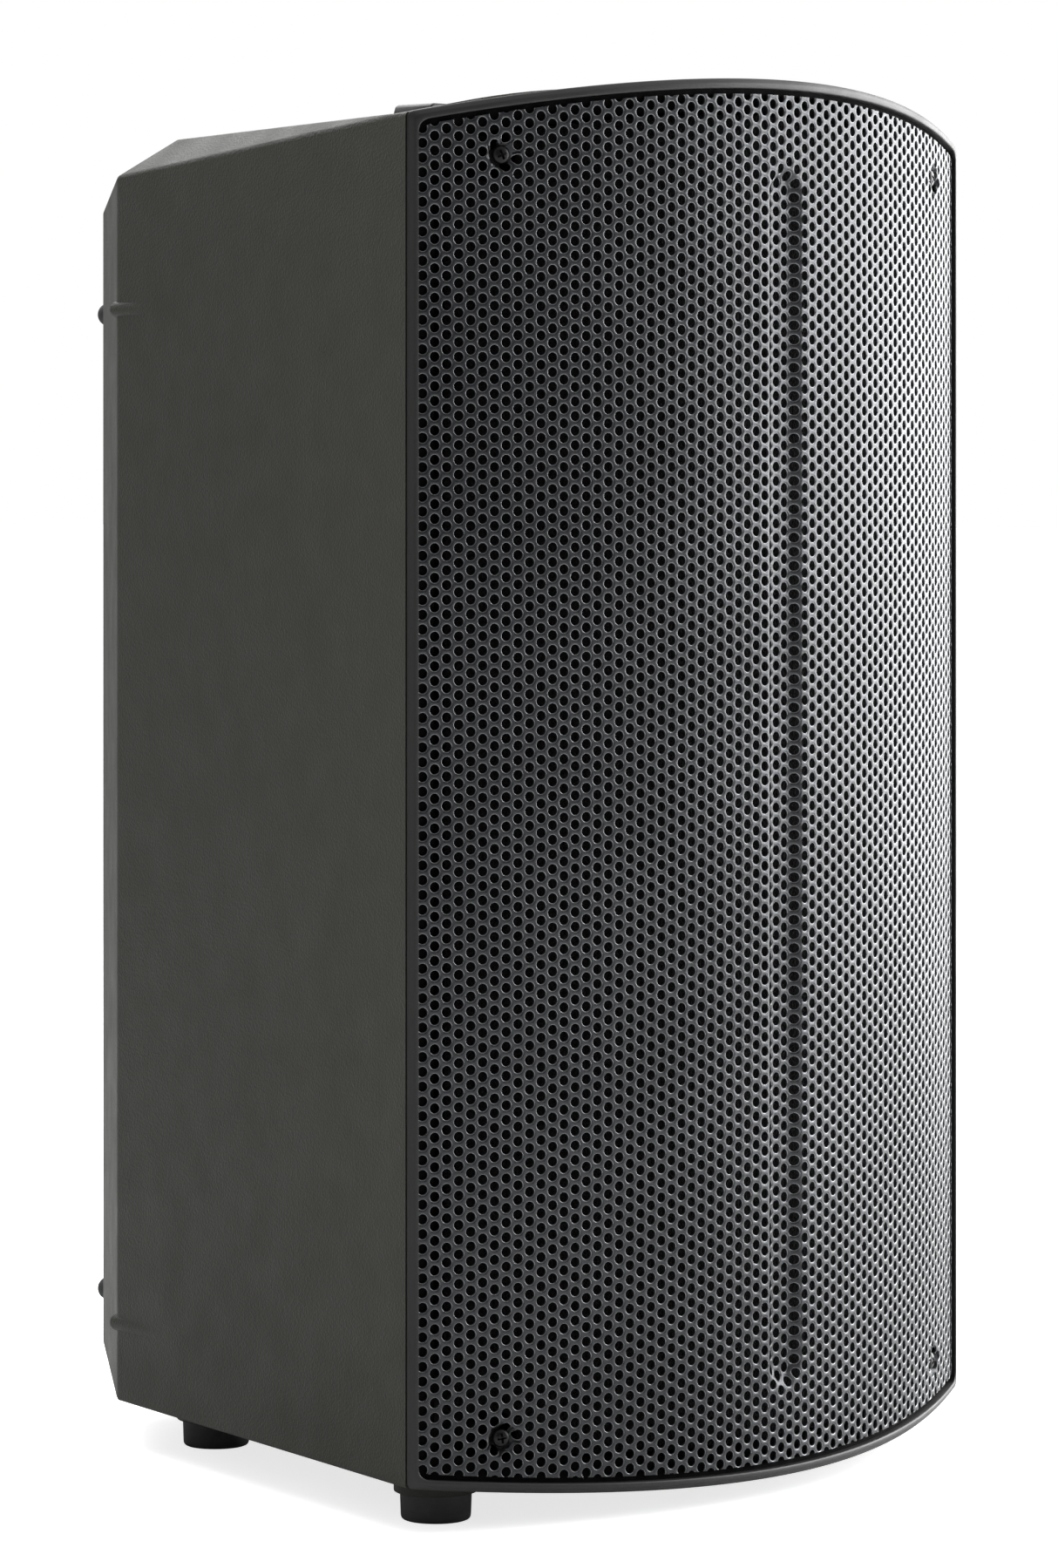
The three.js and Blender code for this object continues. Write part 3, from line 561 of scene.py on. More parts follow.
def prism(name, pts, a0, a1, axis, mat, bevel=0.0, seg=3, angle=30):
    """A flat outline drawn along 'Y' (points are x, z) or 'Z' (points are x, y)."""
    n = len(pts)
    if axis == "Y":
        v = [(x, a0, z) for x, z in pts] + [(x, a1, z) for x, z in pts]
    else:
        v = [(x, y, a0) for x, y in pts] + [(x, y, a1) for x, y in pts]
    f = [tuple(range(n)), tuple(range(2 * n - 1, n - 1, -1))]
    f += [(i, i + n, (i + 1) % n + n, (i + 1) % n) for i in range(n)]
    o = mesh_obj(name, v, f, mat, smooth=False)
    tidy(o, 1e-7)
    if bevel:
        bevelled(o, bevel, seg, angle)
    return shade(o, 40)


def rrect(x0, x1, y0, y1, r, n=8):
    pts = []
    for cx, cy, a in ((x1 - r, y1 - r, 0), (x0 + r, y1 - r, 90), (x0 + r, y0 + r, 180), (x1 - r, y0 + r, 270)):
        for i in range(n + 1):
            t = math.radians(a + 90 * i / n)
            pts.append((cx + r * math.cos(t), cy + r * math.sin(t)))
    return pts


def hull_obj(name, pts, mat):
    bm = bmesh.new()
    for x, y, z in pts:
        bm.verts.new((x * MM, (y + YOFF) * MM, z * MM))
    got = bmesh.ops.convex_hull(bm, input=bm.verts)
    bmesh.ops.delete(bm, geom=list({g for g in got["geom_interior"] + got["geom_unused"] if isinstance(g, bmesh.types.BMVert) and g.is_valid}), context="VERTS")
    bmesh.ops.dissolve_limit(bm, angle_limit=math.radians(0.6), verts=bm.verts, edges=bm.edges)
    bmesh.ops.recalc_face_normals(bm, faces=bm.faces)
    me = bpy.data.meshes.new(name)
    bm.to_mesh(me)
    bm.free()
    o = link(bpy.data.objects.new(name, me))
    o.data.materials.append(M[mat])
    return o


def outline(d, r=5.6, nc=6, nt=48, ns=40, dt=None):
    """The arched front outline inset by d (dt at the top and bottom), always with the same number of points."""
    dt = d if dt is None else dt
    w = HALF - d
    out = []
    zt, zb = top_z(w) - dt, bot_z(w) + dt
    def arc(a, c, b):
        for i in range(nc + 1):
            t = i / nc
            out.append(tuple((1 - t) ** 2 * a[k] + 2 * t * (1 - t) * c[k] + t * t * b[k] for k in (0, 1)))
    def edge(fn, x0, x1):
        for i in range(1, nt):
            x = x0 + (x1 - x0) * i / nt
            out.append((x, fn(x)))
    def side(x, z0, z1):
        for i in range(1, ns):
            out.append((x, z0 + (z1 - z0) * i / ns))
    tz = lambda x: top_z(x) - dt
    bz = lambda x: bot_z(x) + dt
    arc((w, zt - r), (w, zt), (w - r, tz(w - r)))
    edge(tz, w - r, -w + r)
    arc((-w + r, tz(w - r)), (-w, zt), (-w, zt - r))
    side(-w, zt - r, zb + r)
    arc((-w, zb + r), (-w, zb), (-w + r, bz(w - r)))
    edge(bz, -w + r, w - r)
    arc((w - r, bz(w - r)), (w, zb), (w, zb + r))
    side(w, zb + r, zt - r)
    return out


# ------------------------------------------------------------------ rear shell
def shell_points(t=0.0):
    pts = []
    for x, y, z in (
        (HALF - t, Y0, Z_TOP - t), (HALF - t, Y0, Z_BOT + t), (115 - t, 250 - t * 0.5, Z_TOP - t), (58 - t * 0.5, 300 - t, Z_TOP - t),
        (130 - t, 280 - t * 0.4, 656.6 - t), (64 - t * 0.6, 362 - t, 643 - t), (130 - t, 280 - t * 0.4, 23.8 + t),
        (64 - t * 0.6, 362 - t, 37.8 + t), (70 - t * 0.6, 336 - t, Z_BOT + t)):
        pts += [(x, y, z), (-x, y, z)]
    return pts


def extended():
    """The body drawn forward past the seam, so that its front edge stays crisp when it is cut."""
    taper = (HALF - 130) / (280.0 - Y0)
    f = 30.0
    return shell_points() + [(s * (HALF + taper * f), Y0 - f, z) for s in (-1, 1) for z in (Z_TOP, Z_BOT)]


def build_shell():
    body = hull_obj("shell_body", extended(), "shell_plastic")
    bevelled(body, 1.7, 3, 8)
    # raised mouth that carries the arched bezel
    mouth_pts = []
    for x, z in outline(0, 4, 3, 24, 4):
        if z > Z_TOP:
            z = Z_TOP + (z - Z_TOP) * (ARCH_SEAM / ARCH_TOP) * (40.0 - Y0 + 12.0) / (40.0 - Y0)
        elif z < Z_BOT:
            z = Z_BOT - (Z_BOT - z) * 1.105
        mouth_pts.append((x, Y0 - 12.0, z))
    for s in (-1, 1):
        mouth_pts += [(s * 184, 40, Z_TOP), (s * 165, 110, Z_BOT)]
    mouth = hull_obj("shell_mouth", mouth_pts, "shell_plastic")
    boolean(body, [mouth], "UNION")
    # moulded ribs
    for s in (-1, 1):
        for z in (588.0, 63.7):
            a, b = Vector((s * 143.5, 213, z)), Vector((s * 126.4, 283, z))
            d = (b - a)
            L = d.length
            prof = [(0, 0), (4.4, 0), (4.4, L)] + [(4.4 * math.cos(t), L + 4.4 * math.sin(t)) for t in np.linspace(0.15, math.pi / 2, 9)[:-1]] + [(0, L + 4.4)]
            rib = lathe("rib", prof, "Z", (0, 0), "shell_plastic", 32)
            for v in rib.data.vertices:
                v.co.y -= YOFF * MM
            q = Vector((0, 0, 1)).rotation_difference(d.normalized())
            rib.data.transform(q.to_matrix().to_4x4())
            rib.data.transform(Matrix.Translation(Vector((a.x, a.y + YOFF, a.z)) * MM))
            boolean(body, [rib], "UNION")
    # collars over the feet
    for n in ("foot_front_left", "foot_front_right", "foot_rear_left", "foot_rear_right"):
        lo, hi = [v * 1000 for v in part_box(n)]
        c = (lo + hi) / 2
        col = lathe("collar", rounded([(0, 17.5), (18.2, 17.5), (18.2, 13.6), (20.4, 13.6), (20.4, Z_BOT + 3.3), (0, Z_BOT + 3.3)], [0, 0.4, 0.3, 0.9, 0, 0], 4), "Z", (c.x, c.y - YOFF), "shell_plastic", 60)
        boolean(body, [col], "UNION")
    # inner hollow and the cuts
    inner = hull_obj("inner", shell_points(7) + [(x * 1.02, -60, z) for x, y, z in shell_points(7)[:4]], "shell_plastic")
    inner2 = hull_obj("inner2", [(x, -40.0, z) for x, z in outline(7, 4, 3, 24, 4)] + [(s * 150, 22, Z_TOP - 7) for s in (-1, 1)] + [(s * 158, 103, Z_BOT + 7) for s in (-1, 1)], "shell_plastic")
    inner3 = prism("inner3", outline(10.9, 4, 3, 24, 4, dt=11.6), -40, 5.6, "Y", "shell_plastic")
    boolean(body, [inner, inner2, inner3])
    boolean(body, [box_obj("front_cut", -400, 400, -300, Y0, -100, 900, "shell_plastic")])
    # tray for the amplifier panel, with a softened lip
    boolean(body, [box_obj("tray", -64, 64, 342, 360, 144, 566, "shell_plastic")], "UNION")
    boolean(body, [prism("tray_cut", rrect(-58, 58, 150, 560, 3, 5), 348, 380, "Y", "shell_plastic")])
    boolean(body, [prism("tray_cut2", rrect(-49, 49, 162, 548, 4, 5), 330, 356, "Y", "shell_plastic")])
    # hand pocket under the handle
    boolean(body, [box_obj("pocket_wall", -56, 56, 110, 176, Z_TOP - 42, Z_TOP - 2, "shell_plastic")], "UNION")
    pk = hull_obj("pocket", [(x, y, Z_TOP + 6) for x, y in rrect(-52.6, 52.6, 113.4, 172.6, 11)] + [(x, y, Z_TOP - 38) for x, y in rrect(-46, 46, 120, 166, 9)], "shell_plastic")
    boolean(body, [pk])
    boolean(body, [prism("socket_hole", rrect(-35.5, 35.5, 196.5, 247.5, 4), Z_TOP - 30, Z_TOP + 10, "Z", "shell_plastic")])
    for n in ("rear_bumper_upper_left", "rear_bumper_upper_right", "rear_bumper_lower_left", "rear_bumper_lower_right"):
        lo, hi = [v * 1000 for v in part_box(n)]
        c = (lo + hi) / 2
        boolean(body, [lathe("bumper_seat", [(0, 358.0), (2.6, 358.0), (2.6, 366), (0, 366)], "Y", (c.x, c.z), "shell_plastic", 24)])
    body.name = "moulded_shell"
    tidy(body, 2e-6)
    shade(body, 32)
    flats(body)
    return place(body, "rear_shell")


build_shell()

# ------------------------------------------------------------------ front bezel
def build_bezel():
    up, ch = 2.3, 2.3                # how far the rim stands proud of the grille, and its chamfer
    prof = [(0.9, "y", SEAM), (0.0, "y", SEAM - 0.75)]
    for d, h in ((0.0, -ch - 0.35), (0.1, -ch + 0.15), (0.5, -ch + 0.72), (1.0, -ch + 1.24), (1.5, -ch + 1.74), (1.85, -0.2), (2.3, 0.0),
                 (3.5, 0.0), (3.85, -0.1), (4.1, -0.38), (RIM_W, -0.8), (RIM_W, -up - 1.9), (RIM_W + 0.25, -up - 2.2), (9.2, -up - 2.2), (9.5, -up - 2.4)):
        prof.append((d, "h", up + h))
    k_dark = len(prof) - 4
    prof += [(14.9, "h", -3.4), (15.3, "h", -4.0), (15.3, "y", 5.0), (11.6, "y", 5.0), (11.4, "y", 4.7), (11.4, "y", SEAM), (2.0, "y", SEAM)]
    rows = []
    for d, kind, val in prof:
        r = 4.0 if d < 2.0 else 4.0 + 1.6 * min(1, (d - 2.0) / 2.2)
        dt = d * 4.9 / RIM_W if d <= RIM_W else d + 0.7
        row = []
        for x, z in outline(d, r, dt=dt):
            if kind == "y":
                y = val
            else:
                y = min(arc_y(x, val), SEAM - 0.85 if d < 1 else (SEAM - 0.8 if d < 10.5 else 3.5))
            if kind == "y" and val < 0 and z > Z_TOP:
                z = Z_TOP + (z - Z_TOP) * ARCH_SEAM / ARCH_TOP
            row.append((x, y, z))
        rows.append(row)
    n, m = len(rows[0]), len(rows)
    verts = [p for r in rows for p in r]
    faces, dark = [], []
    for i in range(m):
        for j in range(n):
            a, b = i * n + j, i * n + (j + 1) % n
            c, e = ((i + 1) % m) * n + (j + 1) % n, ((i + 1) % m) * n + j
            faces.append((a, b, c, e))
            dark.append(k_dark <= i < m - 5)
    o = mesh_obj("bezel_frame", verts, faces, "bezel_plastic", smooth=False)
    # painted shade: the faces of the grille ledge and recess take the near-black finish
    o.data.materials.append(M["recess_painted_shade"])
    o.data.polygons.foreach_set("material_index", [int(v) for v in dark])
    tidy(o, 1e-7)
    shade(o, 38)
    return place(o, "front_bezel")


build_bezel()

# ------------------------------------------------------------------ perforated grille
PITCH, HOLE = 7.0, 5.0
COL = PITCH * math.sqrt(3) / 2
SCREWS = {}
for n in ("upper_left", "upper_right", "lower_left", "lower_right"):
    lo, hi = [v * 1000 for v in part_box("grille_screw_" + n)]
    SCREWS[n] = ((1 if "right" in n else -1) * 163.0, (lo.z + hi.z) / 2)
GROOVE = dict(z0=51.5, z1=656.0, lip=12.3, floor=6.6, depth=3.4)
DISH = dict(r0=5.9, r1=7.1, depth=3.2)


def smooth01(t):
    t = np.clip(t, 0, 1)
    return t * t * (3 - 2 * t)


def dish_depth(u, z):
    """How far the sheet is pressed back, in mm, at arc length u and height z."""
    a, G = np.abs(u), GROOVE
    end = np.minimum(z - G["z0"], G["z1"] - z)
    lip = G["lip"] * (0.45 + 0.55 * smooth01(end / 13.0))
    t = np.clip((lip - a) / (G["lip"] - G["floor"]), 0, 1)
    t2 = np.clip(end / 10.0, 0, 1)
    d = G["depth"] * (0.75 * t + 0.25 * smooth01(t)) * smooth01(t2 * 1.15)
    for x, zz in SCREWS.values():
        r = np.hypot(u - u_of(x), z - zz)
        d = np.maximum(d, DISH["depth"] * smooth01((DISH["r1"] - r) / (DISH["r1"] - DISH["r0"])))
    return d


def clip_poly(poly, planes):
    """Cuts a polygon in (u, z) with half planes (nx, nz, c) that keep nx u + nz z <= c. A third value rides along."""
    for nx, ny, c in planes:
        if not poly:
            return poly
        out = []
        for i in range(len(poly)):
            a, b = poly[i - 1], poly[i]
            da, db = nx * a[0] + ny * a[1] - c, nx * b[0] + ny * b[1] - c
            if (da < 0) != (db < 0) and abs(da - db) > 1e-12:
                t = da / (da - db)
                out.append(tuple(a[k] + (b[k] - a[k]) * t for k in range(3)))
            if db <= 0:
                out.append(b)
        poly = out
    return poly


def grille_limits(side=RIM_W + 0.35, dt=7.5, r=4.0):
    """Half planes of the sheet's outline, in (u, z)."""
    xs = HALF - side
    us = u_of(xs)
    planes = [(1, 0, us), (-1, 0, us)]
    for fn, s in ((lambda x: top_z(x) - dt, 1), (lambda x: bot_z(x) + dt, -1)):
        X = np.linspace(-xs, xs, 41)
        U = np.interp(X, _X, _S)
        Z = fn(X)
        for i in range(40):
            du, dz = U[i + 1] - U[i], Z[i + 1] - Z[i]
            nx, ny = -dz * s, du * s
            L = math.hypot(nx, ny)
            nx, ny = nx / L, ny / L
            planes.append((nx, ny, nx * U[i] + ny * Z[i]))
        for sx in (-1, 1):
            zc = float(fn(xs))
            cx, cz = us - r, zc - s * r * 1.15
            for t in (20, 45, 70):
                nx, ny = math.cos(math.radians(t)) * sx, math.sin(math.radians(t)) * s
                planes.append((nx, ny, nx * sx * cx + ny * cz + r * 1.04))
    return planes, us


def build_grille():
    seg, T = 12, 1.5
    planes, us = grille_limits()
    P = np.array(planes)
    ring = [(math.cos(2 * math.pi * (i + 0.5) / seg), math.sin(2 * math.pi * (i + 0.5) / seg)) for i in range(seg)]
    Rh = PITCH / math.sqrt(3)
    hexa = [(Rh * math.cos(math.radians(60 * k)), Rh * math.sin(math.radians(60 * k)), 0.0) for k in range(6)]
    r0, r1, r2 = HOLE / 2 - 0.02, HOLE / 2 + 0.1, HOLE / 2 + 0.3
    def at(r, i, h): return (r * ring[i % seg][0], r * ring[i % seg][1], h)
    def corner_of(i): return int(round(((360 * (i + 0.5) / seg) % 360) / 60.0)) % 6
    fronts, backs, plug = [], [], []
    for i in range(seg):
        a, b = corner_of(i), corner_of(i + 1)
        fronts.append([at(r0, i, 0.42), at(r1, i, 0.14), at(r1, i + 1, 0.14), at(r0, i + 1, 0.42)])
        fronts.append([at(r1, i, 0.14), at(r2, i, 0.0), at(r2, i + 1, 0.0), at(r1, i + 1, 0.14)])
        mid = [hexa[a]] if a == b else [hexa[a], hexa[b]]
        fronts.append([at(r2, i, 0.0)] + mid + [at(r2, i + 1, 0.0)])
        backs.append([at(r0, i, 0.0)] + mid + [at(r0, i + 1, 0.0)])
        plug += [[(0, 0, 0), at(1.2, i, 0), at(1.2, i + 1, 0)], [at(1.2, i, 0), at(r2, i, 0.0), at(r2, i + 1, 0.0), at(1.2, i + 1, 0)],
                 [at(r2, i, 0.0)] + mid + [at(r2, i + 1, 0.0)]]
    # the sheet is built as six strips, split between columns of holes
    cuts = [-999, -22.9, -11.4, 0.1, 11.6, 23.1, 999]
    names = [f"grille_strip_{i + 1}" for i in range(6)]
    for si in range(6):
        fv, ff, bv, bf, rim = {}, [], {}, [], []
        def vid(store, p):
            key = (round(p[0], 3), round(p[1], 3))
            got = store.get(key)
            if got is None:
                got = store[key] = (len(store), p)
            return got[0]
        for ci in range(-37, 38):
            k = ci + 0.5
            u0 = k * COL
            if not (cuts[si] <= k < cuts[si + 1]) or abs(u0) > us + 5:
                continue
            zoff = (6.369 + (0.0 if (ci + 34) % 2 == 0 else 3.5)) % PITCH
            for zi in range(0, 103):
                z0 = zoff + zi * PITCH
                dist = (P[:, 0] * u0 + P[:, 1] * z0 - P[:, 2]).max()
                if dist > 4.2:
                    continue
                solid = any(math.hypot(u0 - u_of(x), z0 - zz) < 5.2 for x, zz in SCREWS.values())
                for polys, store, out in ((plug if solid else fronts, fv, ff), (plug if solid else backs, bv, bf)):
                    for pi, poly in enumerate(polys):
                        q = [(p[0] + u0, p[1] + z0, p[2]) for p in poly]
                        if dist > -4.2:
                            q = clip_poly(q, planes)
                        if len(q) < 3:
                            continue
                        ids = [vid(store, p) for p in q]
                        ded = [a for i, a in enumerate(ids) if a != ids[i - 1]]
                        if len(ded) >= 3 and len(set(ded)) == len(ded):
                            out.append(ded)
                            if out is ff:
                                # painted highlight: the two bevel rings round each hole are marked for the lighter rim
                                # finish
                                rim.append(not solid and pi % 3 < 2)
        def to3(V, back):
            h = -dish_depth(V[:, 0], V[:, 1]) - (T if back else V[:, 2])
            x, y = on_front(V[:, 0], h)
            return np.stack([x, y, V[:, 1]], 1)
        fl = [v[1] for v in fv.values()]
        A, B = to3(np.array(fl), False), to3(np.array([v[1] for v in bv.values()]), True)
        edges = set()
        for f in ff:
            for i in range(len(f)):
                edges.add((f[i - 1], f[i]))
        open_edges = sorted(e for e in edges if (e[1], e[0]) not in edges)
        nf = len(A)
        faces = [list(f) for f in ff] + [[nf + i for i in reversed(f)] for f in bf]
        extra, ex_ix = [], {}
        def back_id(i):
            key = (round(fl[i][0], 3), round(fl[i][1], 3))
            if key in bv:
                return nf + bv[key][0]
            if key not in ex_ix:
                ex_ix[key] = len(extra)
                extra.append((fl[i][0], fl[i][1], 0.0))
            return nf + len(B) + ex_ix[key]
        for a, b in open_edges:
            faces.append([b, a, back_id(a), back_id(b)])
        V = np.vstack([A, B] + ([to3(np.array(extra), True)] if extra else []))
        V[:, 1] += YOFF
        me = bpy.data.meshes.new(names[si])
        loops = np.concatenate([np.array(f) for f in faces])
        starts = np.concatenate([[0], np.cumsum([len(f) for f in faces])[:-1]])
        me.vertices.add(len(V))
        me.vertices.foreach_set("co", (V * MM).astype(np.float32).ravel())
        me.loops.add(len(loops))
        me.loops.foreach_set("vertex_index", loops.astype(np.int32))
        me.polygons.add(len(faces))
        me.polygons.foreach_set("loop_start", starts.astype(np.int32))
        me.update(calc_edges=True)
        me.validate()
        me.shade_smooth()
        me.set_sharp_from_angle(angle=math.radians(50))
        o = link(bpy.data.objects.new(names[si], me))
        o.data.materials.append(M["grille_coat"])
        # painted shade: slot 1, near-black, for the faces in the screw cups
        o.data.materials.append(M["cup_painted_shade"])
        # painted highlight: slot 2, lighter, for the hole rims
        o.data.materials.append(M["hole_rim_painted_highlight"])
        mid = np.empty(len(me.polygons) * 3, np.float32)
        me.polygons.foreach_get("center", mid)
        mid = mid.reshape(-1, 3) / MM
        # painted shade: faces within 6 mm of a screw axis take slot 1
        cup = np.zeros(len(mid), np.int32)
        for x, zz in SCREWS.values():
            cup |= (np.hypot((mid[:, 0] - x) * np.hypot(1, slope(x)), mid[:, 2] - zz) < 6.0).astype(np.int32)
        cup[:len(rim)] = np.where((np.array(rim)) & (cup[:len(rim)] == 0), 2, cup[:len(rim)])
        me.polygons.foreach_set("material_index", cup)
        if si == 2:
            place(o, "grille")
        else:
            also(o, "grille")


build_grille()


# ------------------------------------------------------------------ screws
def on_arc(o, x, z):
    """Turns a piece drawn about the origin, facing -Y, square to the curved sheet at x."""
    o.data.transform(Matrix.Translation((0, -YOFF * MM, 0)))
    o.data.transform(Matrix.Rotation(math.atan(slope(x)), 4, "Z"))
    o.data.transform(Matrix.Translation(Vector((x, curve_y(x) + YOFF, z)) * MM))
    return o


def cross_screw(name, r, h, face_y, direction, turn, shaft, mat="black_screw"):
    """A pan head with a cross recess. Its head faces direction (-1 or +1) along Y."""
    s = direction
    prof = [(0, face_y)]
    for t in np.linspace(0, 1, 7)[1:]:
        prof.append((r * math.sin(t * math.pi / 2) * 0.985, face_y - s * h * 0.72 * (1 - math.cos(t * math.pi / 2))))
    prof += [(r, face_y - s * h * 0.82), (r, face_y - s * h * 0.96), (r - 0.2, face_y - s * h), (r * 0.44, face_y - s * h), (r * 0.44, face_y - s * (h + shaft)), (0, face_y - s * (h + shaft + 0.8))]
    o = lathe(name, prof, "Y", (0, 0), mat, 48)
    w, L, dp = r * 0.13, r * 0.56, h * 0.85
    for k in (0, 1):
        a = math.radians(turn + 90 * k)
        pts = [(-L, -w), (L, -w), (L, w), (-L, w)]
        pts = [(x * math.cos(a) - y * math.sin(a), x * math.sin(a) + y * math.cos(a)) for x, y in pts]
        tip = [(x * 0.45, y * 0.6) for x, y in pts]
        y_out, y_in = face_y + s * 1.0, face_y - s * dp
        c = hull_obj("recess", [(x, y_out, z) for x, z in pts] + [(x, face_y - s * h * 0.3, z) for x, z in pts] + [(x, y_in, z) for x, z in tip], mat)
        boolean(o, [c])
    tidy(o, 1e-7)
    return shade(o, 40)


TURNS = {"upper_left": 25, "upper_right": 60, "lower_left": 8, "lower_right": 40}
for n, (x, z) in SCREWS.items():
    o = cross_screw("screw_grille_" + n, 4.35, 2.4, 0.15, -1, TURNS[n], 10)
    on_arc(o, x, z)
    place(o, "grille_screw_" + n)


# ------------------------------------------------------------------ foam behind the grille
def build_foam():
    lo, hi = [v * 1000 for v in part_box("grille_foam")]
    nx, nz = 70, 110
    rng = np.random.default_rng(7)
    wave = rng.normal(0, 1, (nx + 1, nz + 1))
    for _ in range(10):
        wave = (wave + np.roll(wave, 1, 0) + np.roll(wave, -1, 0) + np.roll(wave, 1, 1) + np.roll(wave, -1, 1)) / 5
    wave /= max(1e-6, np.abs(wave).max())
    verts, faces = [], []
    d = 6.3 + 9 + 2.0
    for side in (0, 1):
        for i in range(nx + 1):
            x = -(HALF - d - 3) + 2 * (HALF - d - 3) * i / nx
            zt, zb = top_z(x) - d, bot_z(x) + d
            for j in range(nz + 1):
                z = zb + (zt - zb) * j / nz
                edge = min(i, nx - i) / 3.0
                edge2 = min(j, nz - j) / 3.0
                pinch = 1 - 0.75 * (1 - min(1, edge, edge2)) ** 2
                h = -11.1 + (1.7 if side == 0 else -1.7) * pinch + 0.15 * wave[i, j]
                px, py = on_front(u_of(x), h)
                verts.append((float(px), float(py), z))
    st = (nx + 1) * (nz + 1)
    idx = lambda s, i, j: s * st + i * (nz + 1) + j
    for i in range(nx):
        for j in range(nz):
            faces.append((idx(0, i, j), idx(0, i + 1, j), idx(0, i + 1, j + 1), idx(0, i, j + 1)))
            faces.append((idx(1, i, j), idx(1, i, j + 1), idx(1, i + 1, j + 1), idx(1, i + 1, j)))
    for i in range(nx):
        faces.append((idx(0, i, 0), idx(1, i, 0), idx(1, i + 1, 0), idx(0, i + 1, 0)))
        faces.append((idx(0, i, nz), idx(0, i + 1, nz), idx(1, i + 1, nz), idx(1, i, nz)))
    for j in range(nz):
        faces.append((idx(0, 0, j), idx(0, 0, j + 1), idx(1, 0, j + 1), idx(1, 0, j)))
        faces.append((idx(0, nx, j), idx(1, nx, j), idx(1, nx, j + 1), idx(0, nx, j + 1)))
    o = mesh_obj("foam_sheet", verts, faces, "acoustic_foam", smooth=False)
    tidy(o, 1e-7)
    # holes round the four screw bosses
    for x, z in SCREWS.values():
        c = lathe("boss_cut", [(0, -20), (12, -20), (12, 40), (0, 40)], "Y", (0, 0), "acoustic_foam", 32)
        on_arc(c, x, z)
        boolean(o, [c])
        b = box_obj("boss_cut2", 0 if x > 0 else -60, 60 if x > 0 else 0, -20, 40, -12 if z > 300 else -60, 60 if z > 300 else 12, "acoustic_foam")
        on_arc(b, x, z)
        boolean(o, [b])
    shade(o, 40)
    return place(o, "grille_foam")


build_foam()

# ------------------------------------------------------------------ feet and bumpers
for n in ("foot_front_left", "foot_front_right", "foot_rear_left", "foot_rear_right"):
    lo, hi = [v * 1000 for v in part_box(n)]
    c = (lo + hi) / 2
    prof = rounded([(0, 9), (6, 9), (6, 0), (16.9, 0), (17.5, 17.2), (0, 17.2)], [0, 0.5, 0.6, 2.4, 0.5, 0], 5)
    o = lathe("rubber_" + n, prof, "Z", (c.x, c.y - YOFF), "foot_rubber", 72)
    place(o, n)
    s = lathe("foot_bolt_" + n[5:], rounded([(0, 6.4), (3.2, 6.6), (4.3, 7.6), (4.3, 8.8), (0, 8.8)], [0, 0.3, 0.4, 0, 0], 3), "Z", (c.x, c.y - YOFF), "black_screw", 32)
    also(s, n)
for n in ("rear_bumper_upper_left", "rear_bumper_upper_right", "rear_bumper_lower_left", "rear_bumper_lower_right"):
    lo, hi = [v * 1000 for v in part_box(n)]
    c = (lo + hi) / 2
    prof = rounded([(0, 358.4), (2.3, 358.4), (2.3, 362.3), (6, 362.3), (6, 367), (3.6, 370), (0, 370)], [0, 0.2, 0.1, 0.4, 2.0, 2.4, 0], 5)
    place(lathe("rubber_" + n, prof, "Y", (c.x, c.z), "foot_rubber", 40), n)

# ------------------------------------------------------------------ handle
def build_handle():
    lo, hi = [v * 1000 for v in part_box("top_handle")]
    h = hi.x
    z0, z1 = lo.z, hi.z
    pts = [(-h, z0), (-h + 0.9, z1 - 5.0), (-h + 2.4, z1 - 1.0), (-h + 4.4, z1), (h - 4.4, z1), (h - 2.4, z1 - 1.0), (h - 0.9, z1 - 5.0), (h, z0), (50, z0), (42, Z_TOP + 4.5), (-42, Z_TOP + 4.5), (-50, z0)]
    o = prism("carry_handle", pts, lo.y - YOFF, hi.y - YOFF, "Y", "bezel_plastic", 0.8, 3, 20)
    return place(o, "top_handle")


build_handle()

# ------------------------------------------------------------------ column socket
def build_socket():
    o = prism("socket_cup", rrect(-35, 35, 197, 247, 4), 610.5, 676.5, "Z", "black_plastic")
    fl = prism("flange", rrect(-43, 43, 191, 253, 6), 675.8, 678.1, "Z", "black_plastic", 0.7, 3)
    boolean(o, [fl], "UNION")
    well = hull_obj("well", [(x, y, 700) for x, y in rrect(-32.2, 32.2, 199.8, 244.2, 3.2)] + [(x, y, 613.5) for x, y in rrect(-31.6, 31.6, 200.4, 243.6, 3)], "black_plastic")
    boolean(o, [well])
    boolean(o, [box_obj("slot", -14.4, 14.4, 214.6, 229.4, 600, 620, "black_plastic")])
    for x in (-38, 38):
        boolean(o, [lathe("seat", [(0, 676.9), (1.9, 676.9), (3.4, 679), (0, 679)], "Z", (x, 222), "black_plastic", 24)])
    tidy(o, 1e-6)
    shade(o, 35)
    place(o, "column_socket")
    c = box_obj("contact_carrier", -14, 14, 215, 229, 601.5, 614.9, "black_plastic", 0.8)
    f = box_obj("cf", -17, 17, 212, 232, 601.5, 610.1, "black_plastic", 0.8)
    boolean(c, [f], "UNION")
    shade(c, 35)
    place(c, "contact_block")
    for i, x in enumerate((-9, -3, 3, 9)):
        b = box_obj(f"contact_blade_{i}", x - 1, x + 1, 219, 225, 611, 622.5, "pin_metal", 0.5)
        also(b, "contact_block")
    for i, x in enumerate((-38, 38)):
        s = lathe(f"socket_screw_{i}", rounded([(0, 678.0), (2.6, 677.7), (3.0, 677.3), (1.8, 676.95), (0, 676.95)], [0, 0.2, 0.2, 0, 0], 3), "Z", (x, 222), "black_screw", 32)
        also(s, "column_socket")


build_socket()

